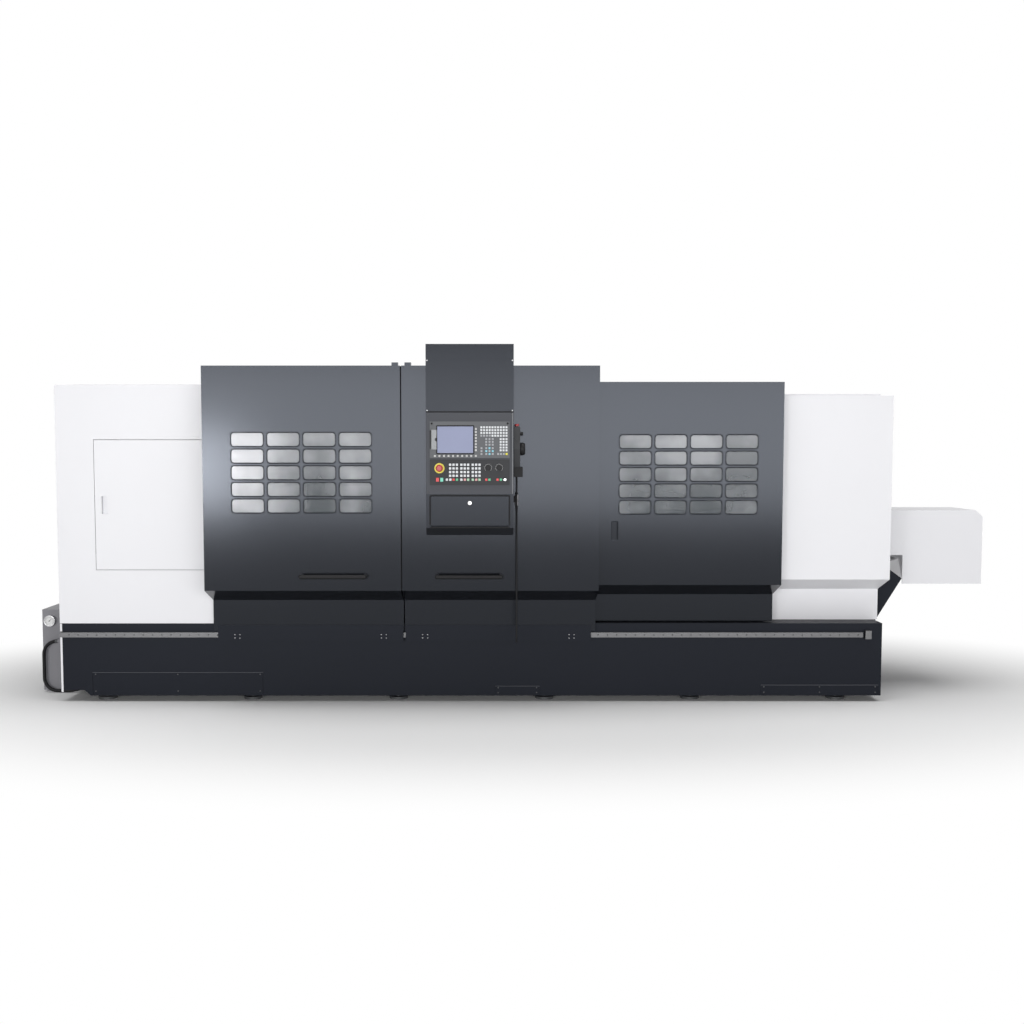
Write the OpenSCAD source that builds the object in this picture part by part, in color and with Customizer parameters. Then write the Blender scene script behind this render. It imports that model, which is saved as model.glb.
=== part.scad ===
// Full-enclosure turning lathe with sliding doors, an operator station and a chip conveyor.
// X runs along the spindle, -Y is the operator's side, Z is up, and Z = 0 is the floor.

/* [Base] */
// Depth of the enclosure behind the door front
body_depth = 1500; // [1450:10:1600]
// Height of the base top above the floor
base_top = 514; // [505:1:520]
// Height of the levelling feet
foot_h = 41; // [35:1:45]
// Diameter of the foot pads
foot_d = 120; // [90:5:130]

/* [Sheet metal] */
// Thickness of the folded sheet
sheet = 4; // [3:0.5:5]
// Step in depth between the nested covers
nest_step = 100; // [90:1:110]
// Depth of the recess below the covers
recess_d = 220; // [200:1:225]

/* [Headstock end] */
// Length of the headstock cabinet that shows left of the doors
cabinet_w = 1004; // [980:2:1040]
// Step from the door top down to the top of the headstock cabinet
cabinet_drop = 104; // [95:1:115]
// Width of the access door
access_w = 722; // [650:2:740]
// Height of the access door
access_h = 835; // [700:5:900]

/* [Doors] */
// Width of each main door
door_w = 1226; // [1210:2:1240]
// Height of the main doors
door_top = 2153; // [2140:1:2170]
// Height of the lower front edge of the main doors
door_edge = 757; // [740:1:770]
// Gap between the two main doors
door_seam = 8; // [6:1:12]
// Width of the tail door
tail_door_w = 1190; // [1170:2:1210]
// Length of the tail cover that shows right of the tail door
cover_w = 720; // [680:5:760]
// Length of a door handle
handle_len = 424; // [300:2:440]
// Diameter of a handle bar
handle_d = 28; // [22:1:34]

/* [Windows] */
// Width of a window slot
slot_w = 202; // [180:1:206]
// Height of a window slot
slot_h = 87; // [70:1:92]
// Corner radius of a window slot
slot_r = 20; // [10:1:30]
// Slots across a window
slot_cols = 4; // [2:1:4]
// Slots down a window
slot_rows = 5; // [2:1:5]

/* [Operator station] */
// Width of the operator box
box_w = 532; // [525:1:560]
// Depth of the operator box
box_d = 140; // [120:1:160]
// Height of the operator box top
box_top = 2272; // [2240:1:2300]
// Height of the cap on the operator box
cap_h = 91; // [60:1:110]
// Width of the display unit and of the machine panel
unit_face_w = 483; // [480:1:490]
// Height of the display unit
display_h = 220; // [218:1:224]
// Height of the machine panel
panel_h = 155; // [152:1:158]

/* [Bed and slides] */
// Height of the spindle axis above the floor
axis_z = 1120; // [1100:1:1160]
// Diameter of the chuck
chuck_d = 400; // [320:5:420]
// Diameter of the spindle
spindle_d = 220; // [160:2:240]
// Diameter of the tailstock quill
quill_d = 90; // [70:1:110]
// Diameter of the feed screw
screw_d = 40; // [32:1:44]

/* [Chip conveyor] */
// Width of the conveyor
conveyor_w = 400; // [300:5:420]
// Incline of the conveyor in degrees
conveyor_tilt = 58.7; // [57:0.1:60]
// Length of the discharge hood
hood_w = 764; // [700:2:800]
// Height of the discharge hood
hood_h = 499; // [460:1:520]

/* [Hydraulic unit] */
// Width of the hydraulic unit
unit_w = 216; // [200:2:240]
// Height of the hydraulic unit
unit_h = 560; // [520:2:600]
// Diameter of the pressure gauge
gauge_d = 74; // [50:1:90]
// Diameter of the hose
hose_d = 22; // [18:1:26]
// Diameter of the cable of the pulse unit
cable_d = 9; // [7:0.5:11]

/* [Hidden] */
$fn = 48;

// Overall length and depth, which put the origin under the middle of the machine
unit_gap = 20;
stop_h = 45;
cabinet_d = 350;
tail_lap = 30;
door_lap = 26;
seam_x = cabinet_w + door_w;
right_x = seam_x + door_seam;
tail_x = right_x + door_w - door_lap;
tail_end = tail_x + tail_door_w;
cover_x = tail_end - tail_lap;
cover_end = tail_end + cover_w;
cover_over = 23;
base_len = cover_end - cover_over;
total_len = unit_w + unit_gap + cover_end + hood_w;
total_depth = stop_h + box_d + body_depth + cabinet_d;
origin_x = -total_len / 2 + unit_w + unit_gap;
origin_y = -total_depth / 2 + stop_h + box_d;

// Planes across the depth, from the front of the main doors
tail_y = nest_step;
cover_y = 2 * nest_step;
cabinet_y = recess_d + 30;
base_y = cabinet_y + 2;
rail_t = 20;
apron_y = base_y - rail_t - 18;

// Heights of the nested covers
under_drop = 87;
cabinet_top = door_top - cabinet_drop;
tail_drop = 94;
tail_top = door_top - tail_drop;
tail_rise = 25;
tail_edge = door_edge + tail_rise;
cover_drop = 174;
cover_top = door_top - cover_drop;
cover_rise = 48;
cover_edge = door_edge + cover_rise;
skirt_gap = 6;

// Paths of the folded covers, each a list of [y, z] points from the back of the top to the foot
beam_y = 570;
door_back = beam_y + 60;
tail_back = beam_y - 50;
function cover_path(y, top, edge, back, foot) =
    [[back, top], [y, top], [y, edge], [y + recess_d, edge - under_drop], [y + recess_d, foot]];
door_path = cover_path(0, door_top, door_edge, door_back, base_top - 44);
tail_path = cover_path(tail_y, tail_top, tail_edge, tail_back, base_top + skirt_gap);
tail_cover_path = cover_path(cover_y, cover_top, cover_edge, body_depth, base_top);

// Inner side of a folded sheet: every corner moved by t along its mitre
function unit2(v) = v / norm(v);
function normal2(a, b) = let (d = unit2(b - a)) [-d[1], d[0]];
function mitre(p, i, t) =
    let (last = len(p) - 1)
    let (n1 = normal2(p[max(i - 1, 0)], p[max(i, 1)]))
    let (n2 = normal2(p[min(i, last - 1)], p[min(i + 1, last)]))
    p[i] + (n1 + n2) * t / (1 + n1 * n2);
function folded(p, t) =
    concat(p, [for (i = [len(p) - 1:-1:0]) mitre(p, i, t)]);

// Points of a smooth curve through a route, with a few rings between two points
function curve(a, b, c, d, t) =
    0.5 * (2 * b + (c - a) * t + (2 * a - 5 * b + 4 * c - d) * t * t
        + (3 * b - a - 3 * c + d) * t * t * t);
function smooth(r, steps) =
    concat([for (i = [0:len(r) - 2]) for (s = [0:steps - 1])
        curve(r[max(i - 1, 0)], r[i], r[i + 1], r[min(i + 2, len(r) - 1)], s / steps)],
        [r[len(r) - 1]]);

module place() {
    translate([origin_x, origin_y, 0]) children();
}

// A profile of [y, z] points carried from x by length
module along_x(x, length) {
    translate([x, 0, 0])
        rotate([90, 0, 90]) linear_extrude(length) children();
}

// A profile of [x, z] points carried from y by depth towards the back
module along_y(y, depth) {
    translate([0, y + depth, 0])
        rotate([90, 0, 0]) linear_extrude(depth) children();
}

// A box given by its two corners
module block(low, high) {
    translate(low) cube(high - low);
}

// A rectangle with round corners, made of squares and circles
module rounded(w, h, r) {
    translate([r, 0]) square([w - 2 * r, h]);
    translate([0, r]) square([w, h - 2 * r]);
    for (x = [r, w - r]) {
        for (y = [r, h - r]) translate([x, y]) circle(r);
    }
}

// Colours
black_paint = [0.2, 0.21, 0.24];
white_paint = [0.93, 0.93, 0.94];
steel = [0.62, 0.63, 0.65];
dark_steel = [0.36, 0.37, 0.39];
cast_iron = [0.42, 0.45, 0.47];
black_rubber = [0.08, 0.08, 0.08];
panel_grey = [0.45, 0.46, 0.5];
pane_tint = [0.7, 0.75, 0.78, 0.6];

// Doors: foot, hangers, rollers and stops
rail_strip_w = 40;
rail_strip_h = 20;
hanger_w = 80;
hanger_t = 20;
hanger_roller_d = 56;
run_gap = 0.3;
hanger_inset = 120;
end_flange = nest_step - 10;
seam_flange = 30;
cabinet_rail_z = cabinet_top + rail_strip_h;
tail_rail_z = cover_top + rail_strip_h;
tail_rail_y = tail_back - 80;
top_block = [40, 40, 20];

// Windows
slot_gap_x = 21;
slot_gap_z = 16;
window_z = 1493;
tail_window_z = 1480;
pane_t = 6;
pane_margin = 20;
window_w = slot_cols * slot_w + (slot_cols - 1) * slot_gap_x;
window_h = slot_rows * slot_h + (slot_rows - 1) * slot_gap_z;

// Recessed pulls
pull_w = 38;
pull_h = 114;
pull_depth = 22;

// End plate that reaches from the front of a path to depth behind it
function end_plate(path, depth, rise) =
    concat([[path[1][0] + depth, path[0][1]]], [for (i = [1:4]) path[i]],
        [[path[4][0] + sheet + rise, path[4][1]], [path[3][0] + sheet + rise, path[3][1]],
        [path[2][0] + depth, path[2][1] - rise]]);

// Hanger with its roller under the top of a door; x is its middle
module hanger(x, y, rail_z, top, roller_d) {
    roller_z = rail_z + run_gap + roller_d / 2;
    block([x - hanger_w / 2, y, rail_z + hanger_t / 2], [x + hanger_w / 2, y + hanger_t, top - sheet]);
    translate([x, y, roller_z]) rotate([90, 0, 0]) cylinder(d = roller_d, h = rail_strip_w - 5);
}

// Slots of a window, centred on x and z, cut through the sheet that starts at y
module window_slots(x, y, z) {
    for (c = [0:slot_cols - 1]) {
        for (r = [0:slot_rows - 1]) {
            translate([x - window_w / 2 + c * (slot_w + slot_gap_x), 0,
                z - window_h / 2 + r * (slot_h + slot_gap_z)])
                along_y(y - 1, sheet + 2) rounded(slot_w, slot_h, slot_r);
        }
    }
}

// Pane behind the slots
module window_pane(x, y, z) {
    w = window_w + 2 * pane_margin;
    h = window_h + 2 * pane_margin;
    block([x - w / 2, y + sheet, z - h / 2], [x + w / 2, y + sheet + pane_t, z + h / 2]);
}

// Bar handle on two posts; x is its middle
handle_z = 850;
handle_out = 55;
module bar_handle(x) {
    reach = handle_len / 2 - handle_d / 2;
    translate([x - reach, -handle_out, handle_z]) rotate([0, 90, 0]) cylinder(d = handle_d, h = 2 * reach);
    for (side = [-1, 1]) {
        translate([x + side * reach, -handle_out, handle_z]) sphere(d = handle_d);
        translate([x + side * reach, 0, handle_z]) rotate([90, 0, 0])
            cylinder(d = handle_d, h = handle_out);
    }
}

// Cup of a recessed pull, left and bottom corner at x and z in a sheet that starts at y
module pull_cup(x, y, z) {
    difference() {
        block([x - sheet, y + sheet / 2, z - sheet],
            [x + pull_w + sheet, y + pull_depth + sheet, z + pull_h + sheet]);
        pull_space(x, y, z);
    }
}

module pull_space(x, y, z) {
    block([x, y - 1, z], [x + pull_w, y + pull_depth, z + pull_h]);
}

// Apron plate below a door, with rollers that run on the lower rail
apron_t = 6;
apron_foot = base_top - 112;
lower_rail_z = base_top - 57;
lower_rail_h = 32;
lower_roller_d = 40;
roller_inset = 125;
module apron(x, length) {
    block([x, apron_y, apron_foot], [x + length, apron_y + apron_t, base_top - 6]);
    for (rx = [x + roller_inset, x + length - roller_inset]) {
        translate([rx, base_y - 4, lower_rail_z + run_gap + lower_roller_d / 2])
            rotate([90, 0, 0]) cylinder(d = lower_roller_d, h = base_y - 4 - recess_d - sheet);
    }
}

// Doors
handle_from_seam = 418;
left_mid = cabinet_w + door_w / 2;
tail_mid = tail_x + tail_door_w / 2;
outer_inset = 28;
module left_door() color(black_paint) place() {
    difference() {
        union() {
            along_x(cabinet_w, door_w) polygon(folded(door_path, sheet));
            along_x(cabinet_w, sheet) polygon(end_plate(door_path, recess_d + 8, 4));
            along_x(seam_x - sheet, sheet) polygon(folded(door_path, seam_flange));
        }
        window_slots(left_mid, 0, window_z);
    }
    for (x = [cabinet_w + hanger_inset, seam_x - hanger_inset])
        hanger(x, beam_y + rail_strip_w, cabinet_rail_z, door_top, hanger_roller_d);
    translate([seam_x - top_block[0] - 12, 10, door_top]) cube(top_block);
}

module left_window() color(pane_tint) place() {
    window_pane(left_mid, 0, window_z);
}

module left_handle() color(steel) place() {
    bar_handle(seam_x - handle_from_seam);
}

module left_apron() color(black_paint) place() {
    apron(cabinet_w + outer_inset, door_w - outer_inset - door_seam / 2);
}

module right_door() color(black_paint) place() {
    along_x(right_x, door_w) polygon(folded(door_path, sheet));
    along_x(right_x, sheet) polygon(folded(door_path, seam_flange));
    along_x(right_x + door_w - sheet, sheet) polygon(end_plate(door_path, end_flange, 8));
    for (x = [right_x + hanger_inset, right_x + door_w - hanger_inset])
        hanger(x, beam_y + rail_strip_w, cabinet_rail_z, door_top, hanger_roller_d);
    translate([right_x + 20, 10, door_top]) cube(top_block);
}

module right_handle() color(steel) place() {
    bar_handle(right_x + handle_from_seam);
}

module right_apron() color(black_paint) place() {
    apron(right_x + door_seam / 2, door_w - outer_inset - door_seam / 2);
}

tail_pull_in = 115;
tail_pull_x = tail_x + tail_pull_in;
tail_pull_z = 1068;
module tail_door() color(black_paint) place() {
    difference() {
        union() {
            along_x(tail_x, tail_door_w) polygon(folded(tail_path, sheet));
            along_x(tail_x, sheet) polygon(folded(tail_path, seam_flange));
            along_x(tail_end - sheet, sheet) polygon(end_plate(tail_path, end_flange, 8));
            pull_cup(tail_pull_x, tail_y, tail_pull_z);
        }
        window_slots(tail_mid, tail_y, tail_window_z);
        pull_space(tail_pull_x, tail_y, tail_pull_z);
    }
    for (x = [tail_x + hanger_inset, tail_end - hanger_inset])
        hanger(x, tail_rail_y + rail_strip_w, tail_rail_z, tail_top, lower_roller_d);
}

module tail_window() color(pane_tint) place() {
    window_pane(tail_mid, tail_y, tail_window_z);
}

// Headstock end
bulkhead_lap = 94;
bulkhead_x = cabinet_w + bulkhead_lap;
access_x = cabinet_w - 36 - access_w;
access_z = 863;
access_t = 24;
door_gap = 3;
knuckle_d = 16;
pin_d = 8;
pin_gap = 0.05;
knuckle_h = 30;
leaf_t = 4;
leaf_w = 22;
hinge_x = access_x + access_w + door_gap / 2;
hinge_y = cabinet_y - knuckle_d / 2;

// Fixed half of a hinge: a pin, its two end knuckles and a leaf that reaches to side
module hinge_fixed(x, y, z, side) {
    translate([x, y, z - knuckle_h]) cylinder(d = pin_d, h = 3 * knuckle_h);
    for (k = [-1, 1]) {
        translate([x, y, z + k * knuckle_h]) cylinder(d = knuckle_d - 2 * run_gap, h = knuckle_h - 1);
        translate([x + min(0, side) * leaf_w, y, z + k * knuckle_h])
            cube([leaf_w, knuckle_d / 2, knuckle_h - 1]);
    }
}

// Moving half of a hinge: a bored knuckle and a leaf that reaches to side
module hinge_moving(x, y, z, side) {
    difference() {
        union() {
            translate([x, y, z]) cylinder(d = knuckle_d - 2 * run_gap, h = knuckle_h - 1);
            translate([x + min(0, side) * leaf_w, y, z]) cube([leaf_w, knuckle_d / 2, knuckle_h - 1]);
        }
        translate([x, y, z - 1]) cylinder(d = pin_d + 2 * pin_gap, h = knuckle_h + 1);
    }
}

hinge_up = 90;
hinge_down = 120;
access_hinges = [access_z + hinge_up, access_z + access_h - hinge_down];

// Headstock profile, also the shape of the cut-out in the bulkhead
bed_y = 500;
bed_d = 660;
way_z = 800;
way_front = bed_y + 40;
way_back = bed_y + bed_d - 40;
axis_y = (way_front + way_back) / 2;
vee_mid = way_front + 80;
vee_half = 30;
vee_h = 25;
head_chamfer = 90;
head_top = axis_z + 300;
function head_profile(grow) = [
    [way_front - grow, way_z - grow], [way_back + grow, way_z - grow],
    [way_back + grow, head_top - head_chamfer], [way_back - head_chamfer, head_top + grow],
    [way_front + head_chamfer, head_top + grow], [way_front - grow, head_top - head_chamfer]];
function vee(gap) =
    [[vee_mid - vee_half - gap, way_z - 1], [vee_mid - vee_half - gap, way_z],
    [vee_mid, way_z + vee_h + gap], [vee_mid + vee_half + gap, way_z],
        [vee_mid + vee_half + gap, way_z - 1]];

module headstock_cabinet() color(white_paint) place() {
    difference() {
        block([0, cabinet_y, base_top], [bulkhead_x, body_depth, cabinet_top]);
        block([sheet, cabinet_y + sheet, base_top - 1],
            [bulkhead_x - sheet, body_depth - sheet, cabinet_top - sheet]);
        block([access_x - door_gap, cabinet_y - 1, access_z - door_gap],
            [access_x + access_w + door_gap, cabinet_y + sheet + 1, access_z + access_h + door_gap]);
        along_x(bulkhead_x - sheet - 1, sheet + 2) polygon(head_profile(6));
        block([bulkhead_x - sheet - 1, bed_y - 6, base_top - 1],
            [bulkhead_x + 1, bed_y + bed_d + 6, way_z]);
    }
    for (z = access_hinges) hinge_fixed(hinge_x, hinge_y, z, 1);
}

access_pull_x = access_x + 42;
access_pull_z = 1223;
module access_door() color(white_paint) place() {
    difference() {
        block([access_x, cabinet_y, access_z],
            [access_x + access_w, cabinet_y + access_t, access_z + access_h]);
        block([access_x + sheet, cabinet_y + sheet, access_z + sheet],
            [access_x + access_w - sheet, cabinet_y + access_t + 1, access_z + access_h - sheet]);
        pull_space(access_pull_x, cabinet_y, access_pull_z);
    }
    pull_cup(access_pull_x, cabinet_y, access_pull_z);
    for (z = access_hinges) hinge_moving(hinge_x, hinge_y, z, -1);
}

// Base
notch_w = 150;
notch_h = 36;
trough_y = 545;
trough_d = 430;
trough_z = 140;
trough_x = bulkhead_x + 52;
groove = 3;
fitting_x = 100;
fitting_w = 50;
fitting_z = 40;
cover_seams = [[204, 1312, 195], [2818, 3108, 105], [base_len - 780, base_len - 17, 112]];
module base_frame() color(black_paint) place() {
    difference() {
        block([0, base_y, foot_h], [base_len, body_depth, base_top]);
        along_y(base_y - 1, body_depth)
            polygon([[-1, foot_h - 1], [notch_w + 40, foot_h - 1], [notch_w, foot_h + notch_h],
                [-1, foot_h + notch_h]]);
        block([trough_x, trough_y, trough_z], [base_len + 1, trough_y + trough_d, base_top + 1]);
        for (seam = cover_seams) {
            block([seam[0], base_y - 1, seam[2]], [seam[1], base_y + groove, seam[2] + groove]);
            for (x = [seam[0], seam[1] - groove])
                block([x, base_y - 1, foot_h - 1], [x + groove, base_y + groove, seam[2]]);
        }
    }
    block([fitting_x, hose_y - fitting_w / 2, fitting_z - fitting_w / 2],
        [fitting_x + fitting_w / 2, hose_y + fitting_w / 2, foot_h + notch_h]);
}

// Levelling feet: a pad, a stud and a nut under the base
foot_cols = 6;
foot_inset = 260;
pad_h = 16;
stud_d = 30;
nut_d = 55;
module levelling_feet() color(dark_steel) place() {
    pitch = (base_len - 2 * foot_inset) / (foot_cols - 1);
    for (i = [0:foot_cols - 1]) {
        for (y = [base_y + foot_d, body_depth - foot_d]) {
            translate([foot_inset + i * pitch, y, 0]) {
                cylinder(d = foot_d, h = pad_h);
                cylinder(d = stud_d, h = foot_h);
                translate([0, 0, foot_h - pad_h / 2]) cylinder(d = nut_d, h = pad_h / 2, $fn = 6);
            }
        }
    }
}

// Tail cover, with its roof and its end wall
conveyor_y = bed_y + 60;
conveyor_t = 170;
conveyor_slope = tan(conveyor_tilt);
conveyor_tip = [cover_end + 208, 771];
function low_line(z) = [conveyor_tip[0] - (conveyor_tip[1] - z) / conveyor_slope, z];
function high_line(z) = low_line(z) - [conveyor_t / sin(conveyor_tilt), 0];
high_tip = high_line(conveyor_tip[1] + conveyor_t * cos(conveyor_tilt) + 12);
port_top = high_tip[1] - (high_tip[0] - cover_end) * conveyor_slope + 15;
module tail_cover() color(white_paint) place() {
    along_x(cover_x, cover_end - cover_x) polygon(folded(tail_cover_path, sheet));
    block([cover_x, body_depth - sheet, base_top], [cover_end, body_depth, cover_top]);
    difference() {
        along_x(cover_end - sheet, sheet) polygon(concat(tail_cover_path, [[body_depth, base_top]]));
        block([cover_end - sheet - 1, conveyor_y - 10, base_top - 1],
            [cover_end + 1, conveyor_y + conveyor_w + 10, port_top]);
    }
}

// Rear wall and roof over the work area
roof_y = beam_y - 10;
roof_lip = 40;
module rear_enclosure() color(white_paint) place() {
    block([bulkhead_x, body_depth - sheet, base_top], [cover_x, body_depth, cover_top]);
    block([bulkhead_x, roof_y, cover_top - sheet], [cover_x, body_depth, cover_top]);
    block([bulkhead_x, roof_y, cover_top - roof_lip], [cover_x, roof_y + sheet, cover_top]);
}

// Upper beam with the rails that carry the doors
beam_d = 80;
tail_rail_x = tail_x - 40;
module door_beam() color(dark_steel) place() {
    block([bulkhead_x, beam_y, cover_top], [tail_end, beam_y + beam_d, cabinet_top]);
    block([sheet, beam_y, cabinet_top], [tail_end, beam_y + rail_strip_w, cabinet_rail_z]);
    block([tail_rail_x, tail_rail_y, cover_top],
        [cover_end - sheet, tail_rail_y + rail_strip_w, tail_rail_z]);
    for (x = [tail_rail_x, tail_mid]) {
        block([x, tail_rail_y, cover_top], [x + rail_strip_w, beam_y, tail_rail_z]);
    }
}

// Lower guide rail on the front of the base, with its end stop
rail_end = base_len - 129;
module guide_rails() color(steel) place() {
    block([sheet, base_y - rail_t, lower_rail_z - lower_rail_h], [rail_end, base_y, lower_rail_z]);
    block([rail_end + 13, base_y - rail_t - 10, lower_rail_z - lower_rail_h - 10],
        [rail_end + 52, base_y, lower_rail_z + 13]);
}

// Electrical cabinet on the back, standing on a plinth
electrical_x = 100;
electrical_w = 1400;
electrical_h = 1950;
plinth_h = 60;
electrical_back = body_depth + cabinet_d - knuckle_d;
electrical_door_t = 14;
seal_gap = 8;
electrical_pin = [electrical_x + 20, electrical_back + knuckle_d / 2];
electrical_hinges = [400, 1600];
module electrical_cabinet() color(white_paint) place() {
    rim = electrical_back - electrical_door_t - seal_gap;
    difference() {
        block([electrical_x, body_depth, 0], [electrical_x + electrical_w, rim, electrical_h]);
        block([electrical_x + sheet, body_depth + sheet, plinth_h],
            [electrical_x + electrical_w - sheet, rim + 1, electrical_h - sheet]);
    }
    for (z = electrical_hinges) {
        block([electrical_x, body_depth + sheet, z - knuckle_h],
            [electrical_x + sheet, electrical_back, z + 2 * knuckle_h]);
        translate([0, 2 * electrical_pin[1], 0]) mirror([0, 1, 0])
            hinge_fixed(electrical_pin[0], electrical_pin[1], z, -1);
    }
}

module electrical_door() color(white_paint) place() {
    low = [electrical_x + sheet + 2, electrical_back - electrical_door_t, plinth_h + door_gap];
    high = [electrical_x + electrical_w, electrical_back, electrical_h];
    block(low, high);
    for (z = electrical_hinges) {
        translate([0, 2 * electrical_pin[1], 0]) mirror([0, 1, 0])
            hinge_moving(electrical_pin[0], electrical_pin[1], z, 1);
    }
}

// Bed with a vee way, a flat way and chip windows, and the brackets of the feed screw
bed_x = 200;
bed_short = 195;
bed_end = base_len - bed_short;
screw_y = bed_y - 25;
screw_z = way_z - 40;
bracket_w = 50;
screw_left = bulkhead_x + 20;
screw_right = bed_end - 60;
window_first = 80;
window_len = 300;
window_rib = 120;
module screw_bracket(x) {
    difference() {
        block([x, screw_y - 35, screw_z - 40], [x + bracket_w, way_front + 10, screw_z + 35]);
        translate([x - 1, screw_y, screw_z]) rotate([0, 90, 0])
            cylinder(d = screw_d + 2 * pin_gap, h = bracket_w + 2);
    }
}

module bed() color(cast_iron) place() {
    bed_windows = floor((conveyor_in - trough_x - window_first) / (window_len + window_rib));
    difference() {
        along_x(bed_x, bed_end - bed_x) polygon([
            [bed_y, base_top], [bed_y + bed_d, base_top], [bed_y + bed_d, base_top + 40],
            [way_back, base_top + 80], [way_back, way_z], [way_back - 140, way_z],
            [way_back - 140, way_z - 100], [way_front + 140, way_z - 100], [way_front + 140, way_z],
            [vee_mid + vee_half, way_z], [vee_mid, way_z + vee_h], [vee_mid - vee_half, way_z],
            [way_front, way_z], [way_front, base_top + 80], [bed_y, base_top + 40]]);
        for (i = [0:bed_windows - 1]) {
            x = trough_x + window_first + i * (window_len + window_rib);
            block([x, way_front + 160, base_top - 1], [x + window_len, way_back - 160, way_z]);
        }
    }
    for (x = [screw_left, screw_right]) screw_bracket(x);
}

// Headstock casting with the spindle bore and a front bearing flange
head_inset = 98;
head_x = bed_x + head_inset;
head_end = bulkhead_x + 10;
bearing_t = 20;
module axis_cylinder(x, length, d) {
    translate([x, axis_y, axis_z]) rotate([0, 90, 0]) cylinder(d = d, h = length);
}

module headstock() color(cast_iron) place() {
    difference() {
        union() {
            along_x(head_x, head_end - head_x) polygon(head_profile(0));
            axis_cylinder(head_end, bearing_t, spindle_d + 120);
        }
        along_x(head_x - 1, head_end - head_x + 2) polygon(vee(0));
        axis_cylinder(head_x - 1, head_end - head_x + bearing_t + 2, spindle_d + 2 * pin_gap);
    }
}

// Motor housing round the rear end of the spindle, bolted to the headstock
motor_len = 238;
rotor_d = spindle_d + 60;
module spindle_motor() color(dark_steel) place() {
    difference() {
        union() {
            axis_cylinder(head_x - motor_len, motor_len, spindle_d + 200);
            for (i = [0:5]) axis_cylinder(head_x - 40 - i * 32, 8, spindle_d + 224);
            axis_cylinder(head_x - 16, 16, spindle_d + 240);
        }
        axis_cylinder(head_x - motor_len - 1, motor_len + 2, rotor_d + 10);
    }
}

// Spindle with the rotor at its rear and the chuck on its nose
chuck_x = head_end + bearing_t + 20;
chuck_t = 140;
through_d = 80;
jaw_w = 50;
jaw_slot = 22;
jaw_slot_t = 24;
module spindle() color(steel) place() {
    difference() {
        union() {
            axis_cylinder(head_x - motor_len + 20, chuck_x - head_x + motor_len - 20, spindle_d);
            axis_cylinder(head_x - motor_len + 30, motor_len - 60, rotor_d);
            axis_cylinder(chuck_x - 18, 18, spindle_d + 80);
            axis_cylinder(chuck_x, chuck_t, chuck_d);
        }
        axis_cylinder(head_x - motor_len, chuck_x - head_x + motor_len + chuck_t + 1, through_d);
        for (a = [0, 120, 240]) jaw_place(a)
            block([-jaw_slot_t, -jaw_slot / 2 - run_gap, -1], [1, jaw_slot / 2 + run_gap, chuck_d]);
    }
}

// Frame of a jaw: X along the spindle from the chuck face, Z outwards
module jaw_place(a) {
    translate([chuck_x + chuck_t, axis_y, axis_z]) rotate([a, 0, 0]) children();
}

// Stepped jaw with a tongue in its slot
jaw_in = 62;
jaw_out = chuck_d / 2 - 12;
module jaw(a) {
    jaw_place(a) {
        block([-jaw_slot_t + 1, -jaw_slot / 2, jaw_in + 10], [run_gap, jaw_slot / 2, jaw_out]);
        block([run_gap, -jaw_w / 2, jaw_in], [30, jaw_w / 2, jaw_out]);
        block([30, -jaw_w / 2, jaw_in], [60, jaw_w / 2, jaw_in + 80]);
        block([60, -jaw_w / 2, jaw_in], [90, jaw_w / 2, jaw_in + 40]);
    }
}

module jaw_a() color(dark_steel) place() jaw(0);
module jaw_b() color(dark_steel) place() jaw(120);
module jaw_c() color(dark_steel) place() jaw(240);

// Carriage: a saddle on the ways with an apron round the feed screw and a guide for the cross slide
carriage_from_head = 1750;
carriage_mid = bulkhead_x + carriage_from_head;
saddle_len = 700;
saddle_h = 100;
slide_gap = 0.2;
guide_w = 240;
guide_h = 30;
saddle_top = way_z + saddle_h;
guide_top = saddle_top + guide_h;
module carriage() color(cast_iron) place() {
    x = carriage_mid - saddle_len / 2;
    difference() {
        union() {
            block([x, way_front - 20, way_z + slide_gap], [x + saddle_len, way_back + 20, saddle_top]);
            block([x + 150, screw_y - 35, screw_z - 70], [x + saddle_len - 150, way_front - 5, saddle_top]);
        }
        along_x(x - 1, saddle_len + 2) polygon(vee(slide_gap));
        translate([x, screw_y, screw_z]) rotate([0, 90, 0])
            cylinder(d = screw_d + 4 * pin_gap, h = saddle_len);
    }
    block([carriage_mid - guide_w / 2, screw_y - 35, saddle_top],
        [carriage_mid + guide_w / 2, way_back + 20, guide_top]);
}

// Cross slide, a plate with a foot for the turret
slide_w = 300;
slide_y = 520;
slide_len = 340;
slide_t = 60;
slide_top = guide_top + slide_gap + slide_t;
turret_y = slide_y + 120;
module cross_slide() color(cast_iron) place() {
    block([carriage_mid - slide_w / 2, slide_y, guide_top + slide_gap],
        [carriage_mid + slide_w / 2, slide_y + slide_len, slide_top]);
    for (side = [-1, 1]) {
        block([carriage_mid + side * (guide_w / 2 + 15) - 12, slide_y, saddle_top + slide_gap],
            [carriage_mid + side * (guide_w / 2 + 15) + 12, slide_y + slide_len, guide_top + 2]);
    }
}

// Four-way tool turret with a turning tool in each side
turret_w = 240;
tool_w = 32;
tool_len = 150;
tool_out = 60;
turret_top = axis_z + 40;
module tool_turret() color(dark_steel) place() {
    translate([carriage_mid, turret_y, 0]) {
        difference() {
            block([-turret_w / 2, -turret_w / 2, slide_top + slide_gap],
                [turret_w / 2, turret_w / 2, turret_top]);
            for (a = [0:90:270]) rotate(a)
                block([-turret_w, turret_w / 2 - 40, axis_z - tool_w],
                    [turret_w, turret_w / 2 + 1, axis_z]);
        }
        translate([0, 0, turret_top]) cylinder(d = 120, h = 30);
        for (a = [0:90:270]) rotate(a)
            block([-tool_w / 2, turret_w / 2 - 40, axis_z - tool_w],
                [tool_w / 2, turret_w / 2 + tool_out, axis_z]);
    }
}

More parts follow.
